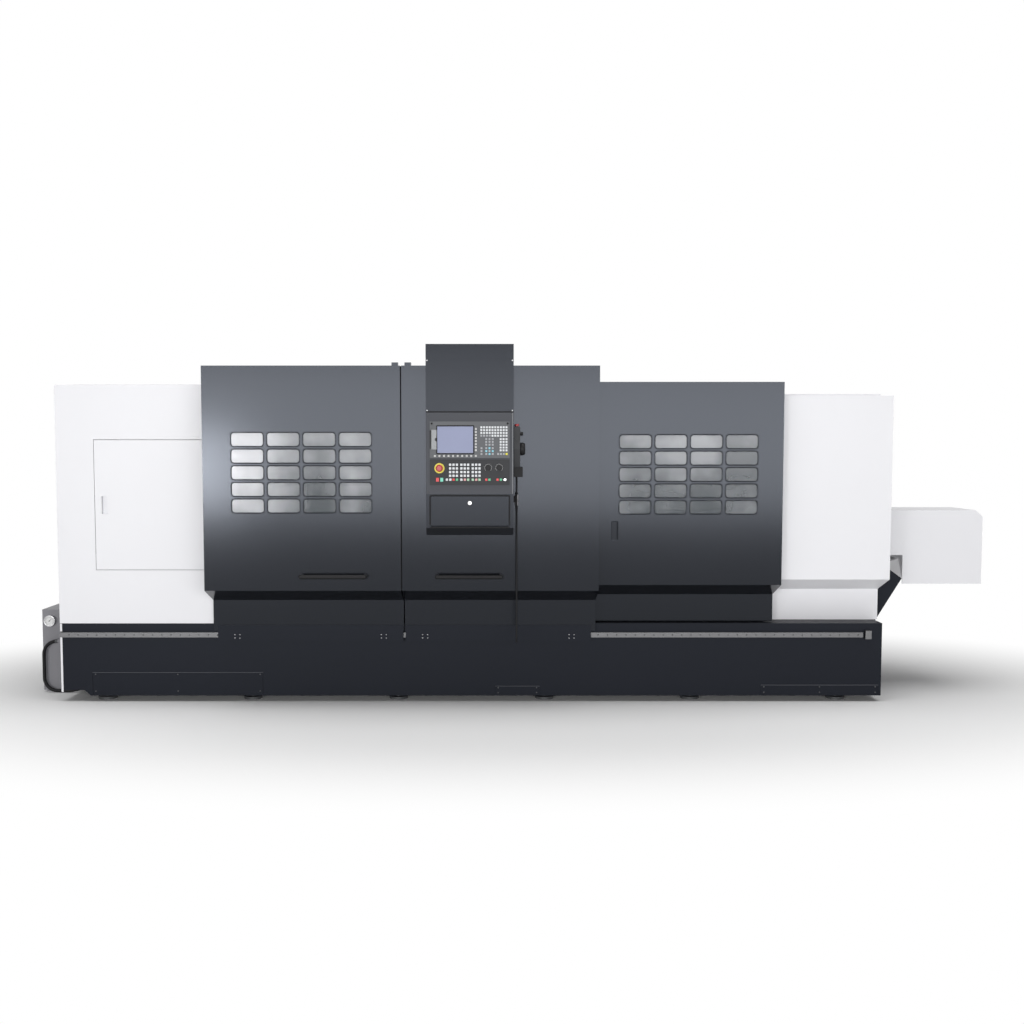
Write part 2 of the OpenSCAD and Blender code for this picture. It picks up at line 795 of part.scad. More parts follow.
// Feed screw between its brackets
module feed_screw() color(steel) place() {
    translate([screw_left + 2, screw_y, screw_z]) rotate([0, 90, 0])
        cylinder(d = screw_d, h = screw_right + bracket_w - screw_left - 4);
}

feed_motor_w = 90;
feed_motor_len = 170;
module feed_motor() color(dark_steel) place() {
    block([screw_right + bracket_w, screw_y - feed_motor_w / 2, screw_z - feed_motor_w / 2],
        [screw_right + bracket_w + feed_motor_len, screw_y + feed_motor_w / 2, screw_z + feed_motor_w / 2]);
    translate([screw_right + bracket_w + feed_motor_len, screw_y, screw_z]) rotate([0, 90, 0])
        cylinder(d = feed_motor_w - 14, h = 50);
}

// Tailstock with its quill and centre
tailstock_from_head = 2850;
tailstock_x = bulkhead_x + tailstock_from_head;
tailstock_len = 500;
barrel_wall = 55;
barrel_d = quill_d + 2 * barrel_wall;
module tailstock() color(cast_iron) place() {
    difference() {
        union() {
            block([tailstock_x, way_front, way_z + slide_gap],
                [tailstock_x + tailstock_len, way_back, saddle_top]);
            block([tailstock_x + 40, axis_y - barrel_d / 2, saddle_top],
                [tailstock_x + tailstock_len - 40, axis_y + barrel_d / 2, axis_z]);
            axis_cylinder(tailstock_x, tailstock_len, barrel_d);
        }
        along_x(tailstock_x - 1, tailstock_len + 2) polygon(vee(slide_gap));
        axis_cylinder(tailstock_x - 1, tailstock_len - 30, quill_d + 2 * pin_gap);
    }
}

centre_len = 100;
quill_out = 100;
quill_len = 500;
module quill() color(steel) place() {
    axis_cylinder(tailstock_x - quill_out, quill_len, quill_d);
    translate([tailstock_x - quill_out - centre_len, axis_y, axis_z]) rotate([0, 90, 0])
        cylinder(d1 = 4, d2 = 60, h = centre_len);
}

// Chip conveyor: a sheet channel that runs along the trough and climbs out of the end of the base
conveyor_run = 625;
conveyor_in = base_len - conveyor_run;
conveyor_low = trough_z;
conveyor_high = 250;
conveyor_path = [[conveyor_in, conveyor_low], low_line(conveyor_low), conveyor_tip, high_tip,
    high_line(conveyor_high), [conveyor_in, conveyor_high]];
channel_path = [[conveyor_in - 1, conveyor_low + sheet], low_line(conveyor_low + sheet) - [2 * sheet, 0],
    conveyor_tip + [20 - 3 * sheet, 40], high_tip + [20 + 3 * sheet, 40],
    high_line(conveyor_high - sheet) + [2 * sheet, 0], [conveyor_in - 1, conveyor_high - sheet]];
module conveyor_casing() color(dark_steel) place() {
    difference() {
        along_y(conveyor_y, conveyor_w) polygon(conveyor_path);
        along_y(conveyor_y + sheet, conveyor_w - 2 * sheet) polygon(channel_path);
    }
}

// Head of the conveyor: a cap over the end of the channel, open towards the hood
head_path = [conveyor_tip, high_tip, high_tip + [55, 14], conveyor_tip + [-26, 133]];
mouth_path = [conveyor_tip + [1, -1], high_tip + [8, -1], high_tip + [56, 9], conveyor_tip + [-30, 124],
    conveyor_tip + [40, 110]];
module conveyor_head() color(panel_grey) place() {
    difference() {
        along_y(conveyor_y, conveyor_w) polygon(head_path);
        along_y(conveyor_y + sheet, conveyor_w - 2 * sheet) polygon(mouth_path);
    }
}

conveyor_motor_d = 130;
conveyor_motor_len = 190;
module conveyor_motor() color(dark_steel) place() {
    mid = (conveyor_tip + high_tip) / 2 - [30, 50];
    translate([mid[0], conveyor_y + conveyor_w + conveyor_motor_len, mid[1]])
        rotate([90, 0, 0]) cylinder(d = conveyor_motor_d, h = conveyor_motor_len);
}

// Discharge hood on the end wall, open below, with a chamfered corner
hood_y = conveyor_y + 50;
hood_foot = 729;
hood_top = hood_foot + hood_h;
hood_end = cover_end + hood_w;
hood_corner = [50, 45];
head_clear = 20;
notch_x = conveyor_tip[0] + head_clear;
notch_z = conveyor_tip[1] + 133 + head_clear;
module discharge_hood() color(white_paint) place() {
    depth = conveyor_w;
    difference() {
        along_y(hood_y, depth) polygon([[cover_end, hood_foot], [hood_end, hood_foot],
            [hood_end, hood_top - hood_corner[1]], [hood_end - hood_corner[0], hood_top],
                [cover_end, hood_top]]);
        along_y(hood_y + sheet, depth - 2 * sheet) polygon([[cover_end + sheet, hood_foot - 1],
            [hood_end - sheet, hood_foot - 1], [hood_end - sheet, hood_top - hood_corner[1] - sheet / 2],
            [hood_end - hood_corner[0] - sheet / 2, hood_top - sheet],
                [cover_end + sheet, hood_top - sheet]]);
        block([cover_end - 1, hood_y - 1, hood_foot - 1], [notch_x, hood_y + depth + 1, notch_z]);
    }
}

// Hydraulic unit on the floor, held to the base by two arms, with the gland of its hose
unit_y = 560;
unit_d = 340;
unit_foot = 12;
gland_x = -100;
gland_z = 350;
gland_len = 15;
elbow_w = 30;
collar_len = 8;
hose_y = unit_y - gland_len - elbow_w / 2;
module hydraulic_unit() color(panel_grey) place() {
    x = -unit_gap - unit_w;
    block([x, unit_y, unit_foot], [-unit_gap, unit_y + unit_d, unit_h]);
    block([x + 15, unit_y + 15, 0], [-unit_gap - 15, unit_y + unit_d - 15, unit_foot]);
    for (y = [unit_y + 60, unit_y + unit_d - 100])
        block([-unit_gap, y, 300], [0, y + 40, 340]);
    translate([gland_x, unit_y, gland_z]) rotate([90, 0, 0])
        cylinder(d = hose_d + 14, h = gland_len, $fn = 6);
    block([gland_x - elbow_w / 2, hose_y - elbow_w / 2, gland_z - elbow_w / 2],
        [gland_x + elbow_w / 2, hose_y + elbow_w / 2, gland_z + elbow_w / 2]);
    translate([gland_x - elbow_w / 2 - collar_len, hose_y, gland_z]) rotate([0, 90, 0])
        cylinder(d = hose_d + 4, h = collar_len);
}

gauge_x = -unit_gap - unit_w + 57;
gauge_z = unit_h - 74;
gauge_t = 30;
module pressure_gauge() color(steel) place() {
    translate([gauge_x, unit_y, gauge_z]) rotate([90, 0, 0]) difference() {
        cylinder(d = gauge_d, h = gauge_t);
        translate([0, 0, gauge_t - 5]) cylinder(d = gauge_d - 10, h = 6);
    }
}

// A cord: rings of one size carried along a smooth route
cord_sides = 10;
function heading(p, i) = let (d = p[min(i + 1, len(p) - 1)] - p[max(i - 1, 0)]) d / norm(d);
function square_to(n, t) = let (v = n - (n * t) * t) v / norm(v);
function normals(p, i, n) =
    i == len(p) ? [] : let (m = square_to(n, heading(p, i))) concat([m], normals(p, i + 1, m));
module cord(route, d, steps, first_normal) {
    p = smooth(route, steps);
    n = normals(p, 0, first_normal);
    last = len(p) - 1;
    points = [for (i = [0:last]) for (k = [0:cord_sides - 1])
        let (a = 360 * k / cord_sides)
        p[i] + d / 2 * (cos(a) * n[i] + sin(a) * cross(heading(p, i), n[i]))];
    sides = [for (i = [0:last - 1]) for (k = [0:cord_sides - 1])
        let (j = (k + 1) % cord_sides)
        [i * cord_sides + j, i * cord_sides + k, (i + 1) * cord_sides + k, (i + 1) * cord_sides + j]];
    start = [for (k = [0:cord_sides - 1]) k];
    finish = [for (k = [cord_sides - 1:-1:0]) last * cord_sides + k];
    polyhedron(points, concat([start], sides, [finish]));
}

// Route of the hose, from the elbow on its unit round to the fitting under the base
hose_start = gland_x - elbow_w / 2 - collar_len - run_gap;
hose_route = [for (p = [[hose_start, gland_z], [-127, gland_z], [-131, gland_z], [-154, 347], [-175.5, 338],
    [-194, 324], [-208, 305.5], [-217, 284], [-220, 261], [-220, 220], [-220, 160], [-220, 101], [-217, 78],
    [-208, 56.5], [-194, 38], [-175.5, 24], [-154, 15], [-131, 12], [-95, 12], [-60, 12], [-24, 16],
    [12, 26], [48, 36], [84, fitting_z], [92, fitting_z], [fitting_x - run_gap, fitting_z]]) [p[0],
        hose_y, p[1]]];
module supply_hose() color(black_rubber) place() {
    cord(hose_route, hose_d, 2, [0, 1, 0]);
}

// Operator box on the right door
box_x = right_x + 159;
box_end = box_x + box_w;
box_foot = 1114;
ledge_h = 46;
ledge_z = box_foot + ledge_h;
ledge_d = 45;
box_side = 12;
cap_z = box_top - cap_h;
flap_up = 54;
flap_z = box_foot + flap_up;
flap_h = 184;
plate_gap = 15;
plate_z = flap_z + flap_h + plate_gap;
plate_h = 493;
plate_t = 6;
flap_side = 30;
flap_t = 4;
flap_out = 5;
flap_pin_d = 6;
barrel_d_flap = 10;
lug_w = 12;
flap_axis = [-box_d - flap_out, flap_z + 5];
flap_x = box_x + flap_side;
flap_w = box_w - 2 * flap_side;
module control_box() color(black_paint) place() {
    difference() {
        along_x(box_x, box_w) polygon([[0, cap_z], [-box_d, cap_z], [-box_d, ledge_z],
            [-box_d + ledge_d, box_foot], [0, box_foot]]);
        block([box_x + sheet, -box_d + sheet, plate_z + box_side], [box_end - sheet, -sheet, cap_z + 1]);
        block([box_x + box_side, -box_d - 1, plate_z + box_side],
            [box_end - box_side, -20, plate_z + plate_h - box_side]);
        block([flap_x + 14, -box_d - 1, flap_z + 16], [flap_x + flap_w - 14, -30, flap_z + flap_h - 6]);
    }
    for (x = [flap_x - lug_w - 1, flap_x + flap_w + 1]) {
        difference() {
            block([x, flap_axis[0] - flap_out, flap_axis[1] - 5], [x + lug_w, -box_d, flap_axis[1] + 5]);
            translate([x - 1, flap_axis[0], flap_axis[1]]) rotate([0, 90, 0])
                cylinder(d = flap_pin_d + 2 * pin_gap, h = lug_w + 2);
        }
    }
}

// Cap of the box, a lid with a small light gap at its seam
cap_step = 3;
module control_box_cap() color(black_paint) place() {
    block([box_x + cap_step, -box_d + cap_step, cap_z], [box_end - cap_step, 0, cap_z + cap_step]);
    block([box_x, -box_d, cap_z + cap_step], [box_end, 0, box_top]);
}

// Storage flap with a lock, hinged on two pins at its lower edge
lock_d = 20;
lock_x = box_x + box_w / 2;
module storage_flap() color(black_paint) place() {
    y = -box_d - flap_out;
    block([flap_x, y - flap_t / 2, flap_axis[1]], [flap_x + flap_w, y + flap_t / 2, flap_z + flap_h]);
    translate([flap_x, flap_axis[0], flap_axis[1]]) rotate([0, 90, 0])
        cylinder(d = barrel_d_flap - 1, h = flap_w);
    translate([flap_x - lug_w, flap_axis[0], flap_axis[1]]) rotate([0, 90, 0])
        cylinder(d = flap_pin_d, h = flap_w + 2 * lug_w);
    translate([lock_x, y + 14, flap_z + flap_h - 40]) rotate([90, 0, 0]) cylinder(d = lock_d, h = 20);
}

// Operator plate, with openings for the two units behind it
face_y = -box_d - plate_t;
unit_x = box_x + (box_w - unit_face_w) / 2;
display_t = 8;
panel_t = 6;
display_up = 219;
display_z = plate_z + display_up;
panel_z = display_z - 10 - panel_h;
body_in = 22;
body_gap = 2;
body_d = 60;
function unit_body(z, h, grow) = [[unit_x + body_in - grow, z + body_in / 2 - grow],
    [unit_x + unit_face_w - body_in + grow, z + h - body_in / 2 + grow]];
module operator_plate() color(panel_grey) place() {
    difference() {
        block([box_x + cap_step, face_y, plate_z], [box_end - cap_step, -box_d, plate_z + plate_h]);
        for (unit = [unit_body(display_z, display_h, body_gap), unit_body(panel_z, panel_h, body_gap)])
            block([unit[0][0], face_y - 1, unit[0][1]], [unit[1][0], -box_d + 1, unit[1][1]]);
    }
}

// Front frame of a unit with its body behind the plate
module unit_case(z, h, t) {
    body = unit_body(z, h, 0);
    block([unit_x, face_y - t, z], [unit_x + unit_face_w, face_y, z + h]);
    block([body[0][0], face_y, body[0][1]], [body[1][0], face_y + body_d, body[1][1]]);
}

// Grid of square keys, given by the first key's middle from the unit's upper left corner
key_rise = 2;
module keys(top, y, first, count, pitch, size) {
    for (c = [0:count[0] - 1]) {
        for (r = [0:count[1] - 1]) {
            translate([unit_x + first[0] + c * pitch[0] - size / 2, y - key_rise,
                top - first[1] - r * pitch[1] - size / 2])
                cube([size, key_rise + 0.5, size]);
        }
    }
}

// Display unit
display_top = display_z + display_h;
display_y = face_y - display_t;
screen_low = [44, 192];
screen_size = [220, 164];
screen_depth = 4;
key_size = 12;
card_low = [8, 169];
card_size = [33, 119];
card_axis = [unit_x + card_low[0] + 2, display_y - 3];
card_pin_d = 2;
finger_d = 24;
module display_unit() color(panel_grey) place() {
    difference() {
        unit_case(display_z, display_h, display_t);
        translate([unit_x + screen_low[0], display_y - 1, display_top - screen_low[1]])
            cube([screen_size[0], screen_depth + 1, screen_size[1]]);
        translate([unit_x + card_low[0] + 10, display_y - 1, display_top - card_low[1] + 10])
            cube([card_size[0] - 16, 50, card_size[1] - 20]);
    }
    keys(display_top, display_y, [279, 45], [1, 8], [0, 18.3], key_size);
    keys(display_top, display_y, [31, 208], [10, 1], [27.5, 0], key_size);
    keys(display_top, display_y, [312, 35], [10, 4], [16.9, 17], key_size);
    keys(display_top, display_y, [429, 106], [3, 5], [17.5, 17], key_size);
    keys(display_top, display_y, [414, 196], [4, 1], [17, 0], key_size);
    keys(display_top, display_y, [342, 106], [3, 3], [19.5, 17], key_size);
    keys(display_top, display_y, [342, 161], [3, 3], [19.5, 17.5], key_size);
    keys(display_top, display_y, [313, 161], [1, 3], [0, 17.5], key_size);
    for (z = [display_top - card_low[1] - 5, display_top - card_low[1] + card_size[1] + 1]) {
        difference() {
            block([card_axis[0] - 3, card_axis[1] - 3, z], [card_axis[0] + 3, display_y + 1, z + 4]);
            translate([card_axis[0], card_axis[1], z - 1]) cylinder(d = card_pin_d + 2 * pin_gap, h = 6);
        }
    }
}

module display_screen() color([0.55, 0.6, 0.7]) place() {
    translate([unit_x + screen_low[0], display_y + 1, display_top - screen_low[1]])
        cube([screen_size[0], screen_depth - 1, screen_size[1]]);
}

// Flap over the card slot, with a half-round finger notch
module interface_flap() color(steel) place() {
    z = display_top - card_low[1];
    difference() {
        block([card_axis[0], card_axis[1] - 1, z],
            [card_axis[0] + card_size[0] - 2, card_axis[1] + 1, z + card_size[1]]);
        translate([card_axis[0] + card_size[0], card_axis[1] + 2, z + card_size[1] / 2])
            rotate([90, 0, 0]) cylinder(d = finger_d, h = 4);
    }
    translate([card_axis[0], card_axis[1], z]) cylinder(d = 4, h = card_size[1]);
    translate([card_axis[0], card_axis[1], z - 4]) cylinder(d = card_pin_d, h = card_size[1] + 8);
}

// Machine panel
panel_top = panel_z + panel_h;
panel_y = face_y - panel_t;
panel_key = 14;
stop_at = [58, 52];
stop_ring_d = 62;
stop_head_d = 42;
stop_stem_d = 16;
knob_at = [[353, 49], [420, 49]];
knob_ring_d = 52;
knob_d = 34;
knob_h = 20;
ring_t = 3;
shaft_d = 6;
stem_in = 25;
stem_room = 15;
key_at = [455, 121.5];
start_at = [72, 121.5];
cycle_stop_at = [46.5, 121.5];
button_size = [18, 23];
button_h = 6;
button_stem_d = 8;
small_key_x = [103, 124, 144, 164, 191, 212, 232, 260, 281, 301, 342, 361, 410, 430];

// A place on the machine panel's face, Z outwards to the operator
module on_panel(at) {
    translate([unit_x + at[0], panel_y, panel_top - at[1]]) rotate([90, 0, 0]) children();
}

module stem_bore(at, d) {
    on_panel(at) translate([0, 0, -stem_in - stem_room])
        cylinder(d = d + 2 * pin_gap, h = stem_in + stem_room + 30);
}

module machine_panel() color(panel_grey) place() {
    difference() {
        union() {
            unit_case(panel_z, panel_h, panel_t);
            on_panel(stop_at) cylinder(d = stop_ring_d, h = ring_t);
            for (at = knob_at) on_panel(at) cylinder(d = knob_ring_d, h = ring_t - 1);
            on_panel(key_at) cylinder(d = 24, h = ring_t);
        }
        stem_bore(stop_at, stop_stem_d);
        for (at = knob_at) stem_bore(at, shaft_d);
        stem_bore(key_at, shaft_d);
        for (at = [start_at, cycle_stop_at]) stem_bore(at, button_stem_d);
    }
    for (x = [123, 191, 260]) keys(panel_top, panel_y, [x, 31], [3, 4], [20.5, 22.3], panel_key);
    for (x = small_key_x) keys(panel_top, panel_y, [x, 121.5], [1, 1], [0, 0], panel_key);
}

module emergency_button() color("red") place() {
    head_y = stop_h + box_d + panel_y;
    on_panel(stop_at) {
        translate([0, 0, -stem_in]) cylinder(d = stop_stem_d, h = stem_in + head_y - 20);
        translate([0, 0, head_y - 22]) cylinder(d = stop_head_d, h = 14);
        translate([0, 0, head_y - 8]) cylinder(d1 = stop_head_d, d2 = stop_head_d - 12, h = 8);
    }
}

// Round knob with a grip ridge
module knob(at) {
    on_panel(at) {
        translate([0, 0, -stem_in]) cylinder(d = shaft_d, h = stem_in + 5);
        translate([0, 0, ring_t]) cylinder(d = knob_d, h = 6);
        translate([0, 0, ring_t]) cylinder(d = knob_d - 8, h = knob_h - 2);
        block([-4, -knob_d / 2 + 1, ring_t + 5], [4, knob_d / 2 - 1, knob_h]);
    }
}

module feed_knob() color("dimgray") place() knob(knob_at[0]);
module spindle_knob() color("dimgray") place() knob(knob_at[1]);

module key_switch() color(steel) place() on_panel(key_at) {
    translate([0, 0, -stem_in]) cylinder(d = shaft_d, h = stem_in + 5);
    translate([0, 0, ring_t + run_gap]) cylinder(d = 16, h = 5);
    block([-1.5, -8, ring_t + 5], [1.5, 8, 22]);
}

// Square push button on a stem
module push_button(at) {
    on_panel(at) {
        translate([0, 0, -stem_in]) cylinder(d = button_stem_d, h = stem_in + 5);
        block([-button_size[0] / 2, -button_size[1] / 2, 4],
            [button_size[0] / 2, button_size[1] / 2, 4 + button_h]);
    }
}

module cycle_start_button() color("green") place() push_button(start_at);
module cycle_stop_button() color("firebrick") place() push_button(cycle_stop_at);

// Hand-held pulse unit on the side of the operator box, facing along +X
pendant_t = 38;
pendant_y = -85;
pendant_w = 90;
pendant_foot_w = 60;
pendant_up = 163;
pendant_z = plate_z + pendant_up;
pendant_h = 245;
pendant_waist = 110;
back_t = 2;
shaft_in = 18;
pendant_x = box_end + back_t;
pendant_face = pendant_x + pendant_t;
pendant_mid = pendant_x + pendant_t / 2;
holder_w = 56;
holder_h = 60;
cable_hole = cable_d + 6;
socket_y = -13;
socket_drop = 77;
socket_z = plate_z - socket_drop;
socket_h = 82;
socket_d = 18;
module pendant_holder() color(black_rubber) place() {
    difference() {
        block([box_end, pendant_y - 40, pendant_z - holder_h],
            [box_end + holder_w, pendant_y + 40, pendant_z]);
        translate([pendant_mid, pendant_y, pendant_z - holder_h - 1])
            cylinder(d = cable_hole, h = holder_h + 2);
    }
    block([box_end, pendant_y - 40, pendant_z - holder_h],
        [box_end + back_t, pendant_y + 40, pendant_z + 180]);
    block([box_end, socket_y - 6, socket_z + 20], [pendant_mid, socket_y + 6, socket_z + 60]);
    translate([pendant_mid, socket_y, socket_z]) cylinder(d = socket_d, h = socket_h);
}

wheel_at = pendant_z + 110;
knob_up = pendant_z + 203;
side_knob_up = pendant_z + 178;
module pendant_body() color(panel_grey) place() {
    difference() {
        along_x(pendant_x, pendant_t) polygon([
            [pendant_y - pendant_foot_w / 2, pendant_z], [pendant_y + pendant_foot_w / 2, pendant_z],
            [pendant_y + pendant_w / 2, pendant_z + pendant_waist],
                [pendant_y + pendant_w / 2, pendant_z + pendant_h],
            [pendant_y - pendant_w / 2, pendant_z + pendant_h],
                [pendant_y - pendant_w / 2, pendant_z + pendant_waist]]);
        for (z = [wheel_at, knob_up]) translate([pendant_face - shaft_in - 2, pendant_y, z])
            rotate([0, 90, 0])
            cylinder(d = shaft_d + 2 * pin_gap, h = shaft_in + 12);
        translate([pendant_mid, pendant_y, pendant_z + pendant_h - shaft_in - 8])
            cylinder(d = button_stem_d + 2 * pin_gap, h = shaft_in + 18);
    }
    translate([pendant_mid, pendant_y - pendant_w / 2, side_knob_up]) rotate([90, 0, 0])
        cylinder(d = 22, h = 12);
}

wheel_d = 56;
module pendant_wheel() color("gray") place() translate([pendant_face, pendant_y, wheel_at])
    rotate([0, 90, 0]) {
    translate([0, 0, -shaft_in]) cylinder(d = shaft_d, h = shaft_in + 2);
    translate([0, 0, 1]) cylinder(d = wheel_d, h = 14);
    translate([0, 0, 15]) cylinder(d = wheel_d - 20, h = 4);
    translate([-wheel_d / 2 + 10, 0, 14]) cylinder(d = 10, h = 12);
}

module pendant_knob() color("dimgray") place() translate([pendant_face, pendant_y, knob_up])
    rotate([0, 90, 0]) {
    translate([0, 0, -shaft_in]) cylinder(d = shaft_d, h = shaft_in + 2);
    translate([0, 0, 1]) cylinder(d = 22, h = 16);
    block([-10, -3, 16], [10, 3, 19]);
}

module pendant_stop_button() color("red") place() translate([pendant_mid, pendant_y,
    pendant_z + pendant_h]) {
    translate([0, 0, -shaft_in]) cylinder(d = button_stem_d, h = shaft_in + 8);
    translate([0, 0, 6]) cylinder(d = 28, h = 7);
    translate([0, 0, 13]) cylinder(d1 = 28, d2 = 18, h = 4);
}

// Route of the cable: down from the pulse unit, a loop, and up to the socket
loop_z = 444;
loop_mid = (pendant_y + socket_y) / 2;
cable_route = [[pendant_mid, pendant_y, pendant_z], [pendant_mid, pendant_y, 1400],
    [pendant_mid, pendant_y, 1250],
    [pendant_mid, pendant_y, 1050], [pendant_mid, pendant_y, 850], [pendant_mid, pendant_y, 680],
    [pendant_mid, pendant_y, 540], [pendant_mid, pendant_y, 480], [pendant_mid, pendant_y + 5, 462],
    [pendant_mid, pendant_y + 18, 449], [pendant_mid, loop_mid, loop_z], [pendant_mid, socket_y - 18, 449],
    [pendant_mid, socket_y - 5, 462], [pendant_mid, socket_y, 480],
    [pendant_mid, socket_y, 540], [pendant_mid, socket_y, 680], [pendant_mid, socket_y, 850],
    [pendant_mid, socket_y, 1050], [pendant_mid, socket_y, 1200], [pendant_mid, socket_y, socket_z]];
module pendant_cable() color(black_rubber) place() {
    cord(cable_route, cable_d, 4, [1, 0, 0]);
}

base_frame();
levelling_feet();
bed();
headstock();
headstock_cabinet();
tail_cover();
rear_enclosure();
door_beam();
guide_rails();
conveyor_casing();
conveyor_head();
conveyor_motor();
discharge_hood();
hydraulic_unit();
pressure_gauge();
supply_hose();
spindle_motor();
feed_motor();
electrical_cabinet();
electrical_door();
left_door();
left_window();
left_handle();
left_apron();
right_door();
right_handle();
right_apron();
control_box();
control_box_cap();
operator_plate();
display_unit();
display_screen();
machine_panel();
storage_flap();
interface_flap();
emergency_button();
feed_knob();
spindle_knob();
key_switch();
cycle_start_button();
cycle_stop_button();
pendant_holder();
pendant_body();
pendant_cable();
pendant_wheel();
pendant_knob();
pendant_stop_button();
tail_door();
tail_window();
access_door();
spindle();
jaw_a();
jaw_b();
jaw_c();
carriage();
cross_slide();
tool_turret();
tailstock();
quill();
feed_screw();
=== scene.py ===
"""Dresses the turning lathe: finishes for every solid, its two cords and its small fittings."""
import math

import bpy
import numpy as np
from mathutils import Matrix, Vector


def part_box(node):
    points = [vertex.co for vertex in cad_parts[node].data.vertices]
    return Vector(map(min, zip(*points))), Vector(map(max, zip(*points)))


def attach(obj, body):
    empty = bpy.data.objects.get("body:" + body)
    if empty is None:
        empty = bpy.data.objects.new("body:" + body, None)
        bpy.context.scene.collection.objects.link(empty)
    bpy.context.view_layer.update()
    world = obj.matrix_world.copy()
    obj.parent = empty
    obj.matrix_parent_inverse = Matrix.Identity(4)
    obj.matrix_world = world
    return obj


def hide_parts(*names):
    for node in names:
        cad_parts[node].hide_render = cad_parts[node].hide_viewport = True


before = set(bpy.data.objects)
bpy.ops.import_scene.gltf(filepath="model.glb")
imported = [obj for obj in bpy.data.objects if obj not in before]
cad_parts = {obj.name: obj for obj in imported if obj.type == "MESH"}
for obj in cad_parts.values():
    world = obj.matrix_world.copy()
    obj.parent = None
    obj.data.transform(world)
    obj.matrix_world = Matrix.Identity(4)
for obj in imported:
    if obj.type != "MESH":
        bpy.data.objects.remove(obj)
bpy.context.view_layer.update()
scene = bpy.context.scene

# Machine coordinates: millimetres from the left end of the base, the door front and the floor.
MM = 0.001
BASE_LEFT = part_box("base_frame")[0][0]
DOOR_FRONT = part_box("left_door")[0][1]


def place(x, y, z):
    """A point in metres from machine coordinates in millimetres."""
    return np.array([BASE_LEFT + x * MM, DOOR_FRONT + y * MM, z * MM])


def place_all(points):
    """Many points in metres from machine coordinates in millimetres."""
    return np.asarray(points, float) * MM + np.array([BASE_LEFT, DOOR_FRONT, 0.0])


def span(node):
    """Low and high corner of a solid in machine coordinates, in millimetres."""
    low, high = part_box(node)
    origin = np.array([BASE_LEFT, DOOR_FRONT, 0.0])
    return (np.array(low) - origin) / MM, (np.array(high) - origin) / MM


# Camera, at eye height seven metres in front of the doors
VIEW_X = 2798.0
VIEW_DISTANCE = 7000.0
VIEW_HEIGHT = 1640.0
VIEW_PITCH = math.radians(3.8)
SENSOR_MM = 36.0
VIEW_REACH = 200.0
FRAME_PX = 1024.0
FOCAL_PX = 1129.0
CENTRE_PX = (492.0, 524.0)


def add_camera():
    """A camera with the photograph's focal length, in pixels of a square frame, and its offset centre."""
    data = bpy.data.cameras.new("front_view")
    data.sensor_width = SENSOR_MM
    data.lens = SENSOR_MM * FOCAL_PX / FRAME_PX
    data.shift_x = (FRAME_PX / 2 - CENTRE_PX[0]) / FRAME_PX
    data.shift_y = (CENTRE_PX[1] - FRAME_PX / 2) / FRAME_PX
    data.clip_end = VIEW_REACH
    camera = bpy.data.objects.new("front_view", data)
    camera.location = place(VIEW_X, -VIEW_DISTANCE, VIEW_HEIGHT)
    camera.rotation_euler = (math.pi / 2 - VIEW_PITCH, 0.0, 0.0)
    scene.collection.objects.link(camera)
    scene.camera = camera


add_camera()


# Meshes

def mesh_piece(name, points, faces, body, smooth=False):
    """An object at the origin from points in metres and faces, riding on a body."""
    data = bpy.data.meshes.new(name)
    data.from_pydata(np.asarray(points, float).reshape(-1, 3).tolist(), [], [list(map(int, f)) for f in faces])
    data.polygons.foreach_set("use_smooth", np.full(len(data.polygons), smooth))
    data.update()
    piece = bpy.data.objects.new(name, data)
    scene.collection.objects.link(piece)
    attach(piece, body)
    return piece


def grid_faces(rows, columns, wrap_rows=False, wrap_columns=False):
    """Quads of a grid of rows by columns of points, numbered row by row."""
    r = np.arange(rows if wrap_rows else rows - 1)
    c = np.arange(columns if wrap_columns else columns - 1)
    r, c = [a.ravel() for a in np.meshgrid(r, c, indexing="ij")]
    r2 = (r + 1) % rows
    c2 = (c + 1) % columns
    return np.stack([r * columns + c, r * columns + c2, r2 * columns + c2, r2 * columns + c], axis=1)


def capped_faces(rows, columns):
    """Quads of rings of points, numbered ring by ring, with one face over each end."""
    faces = grid_faces(rows, columns, wrap_columns=True).tolist()
    faces.append(list(range(columns))[::-1])
    faces.append(list(range((rows - 1) * columns, rows * columns)))
    return faces


def smooth_route(route, steps):
    """A smooth cubic curve through the route, with some points between two of its own."""
    p = np.asarray(route, float)
    before = np.vstack([p[:1], p[:-2]])
    after = np.vstack([p[2:], p[-1:]])
    t = (np.arange(steps) / steps)[None, :, None]
    a, b, c, d = [q[:, None, :] for q in (before, p[:-1], p[1:], after)]
    curve = 0.5 * (2 * b + (c - a) * t + (2 * a - 5 * b + 4 * c - d) * t ** 2 + (3 * b - a - 3 * c + d) * t ** 3)
    return np.vstack([curve.reshape(-1, 3), p[-1:]])


def tube_surface(path, radius, sides):
    """Rings of a radius round a path in one plane: each ring is square to the path's heading there."""
    heading = np.gradient(path, axis=0)
    heading /= np.linalg.norm(heading, axis=1, keepdims=True)
    guide = np.eye(3)[np.argmin(np.ptp(path, axis=0))]
    first = np.cross(heading, guide)
    first /= np.linalg.norm(first, axis=1, keepdims=True)
    second = np.cross(heading, first)
    turn = np.linspace(0, 2 * np.pi, sides, endpoint=False)
    ring = np.cos(turn)[None, :, None] * first[:, None, :] + np.sin(turn)[None, :, None] * second[:, None, :]
    return path[:, None, :] + radius * ring


CORD_STEPS = 8
CORD_SIDES = 14


def cord_piece(name, route, diameter, body):
    """A round cord along a route in machine millimetres, which stands for the solid of its name."""
    path = place_all(smooth_route(route, CORD_STEPS))
    rings = tube_surface(path, diameter * MM / 2, CORD_SIDES)
    piece = mesh_piece(name + "_line", rings, capped_faces(len(path), CORD_SIDES), body, smooth=True)
    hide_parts(name)
    return piece


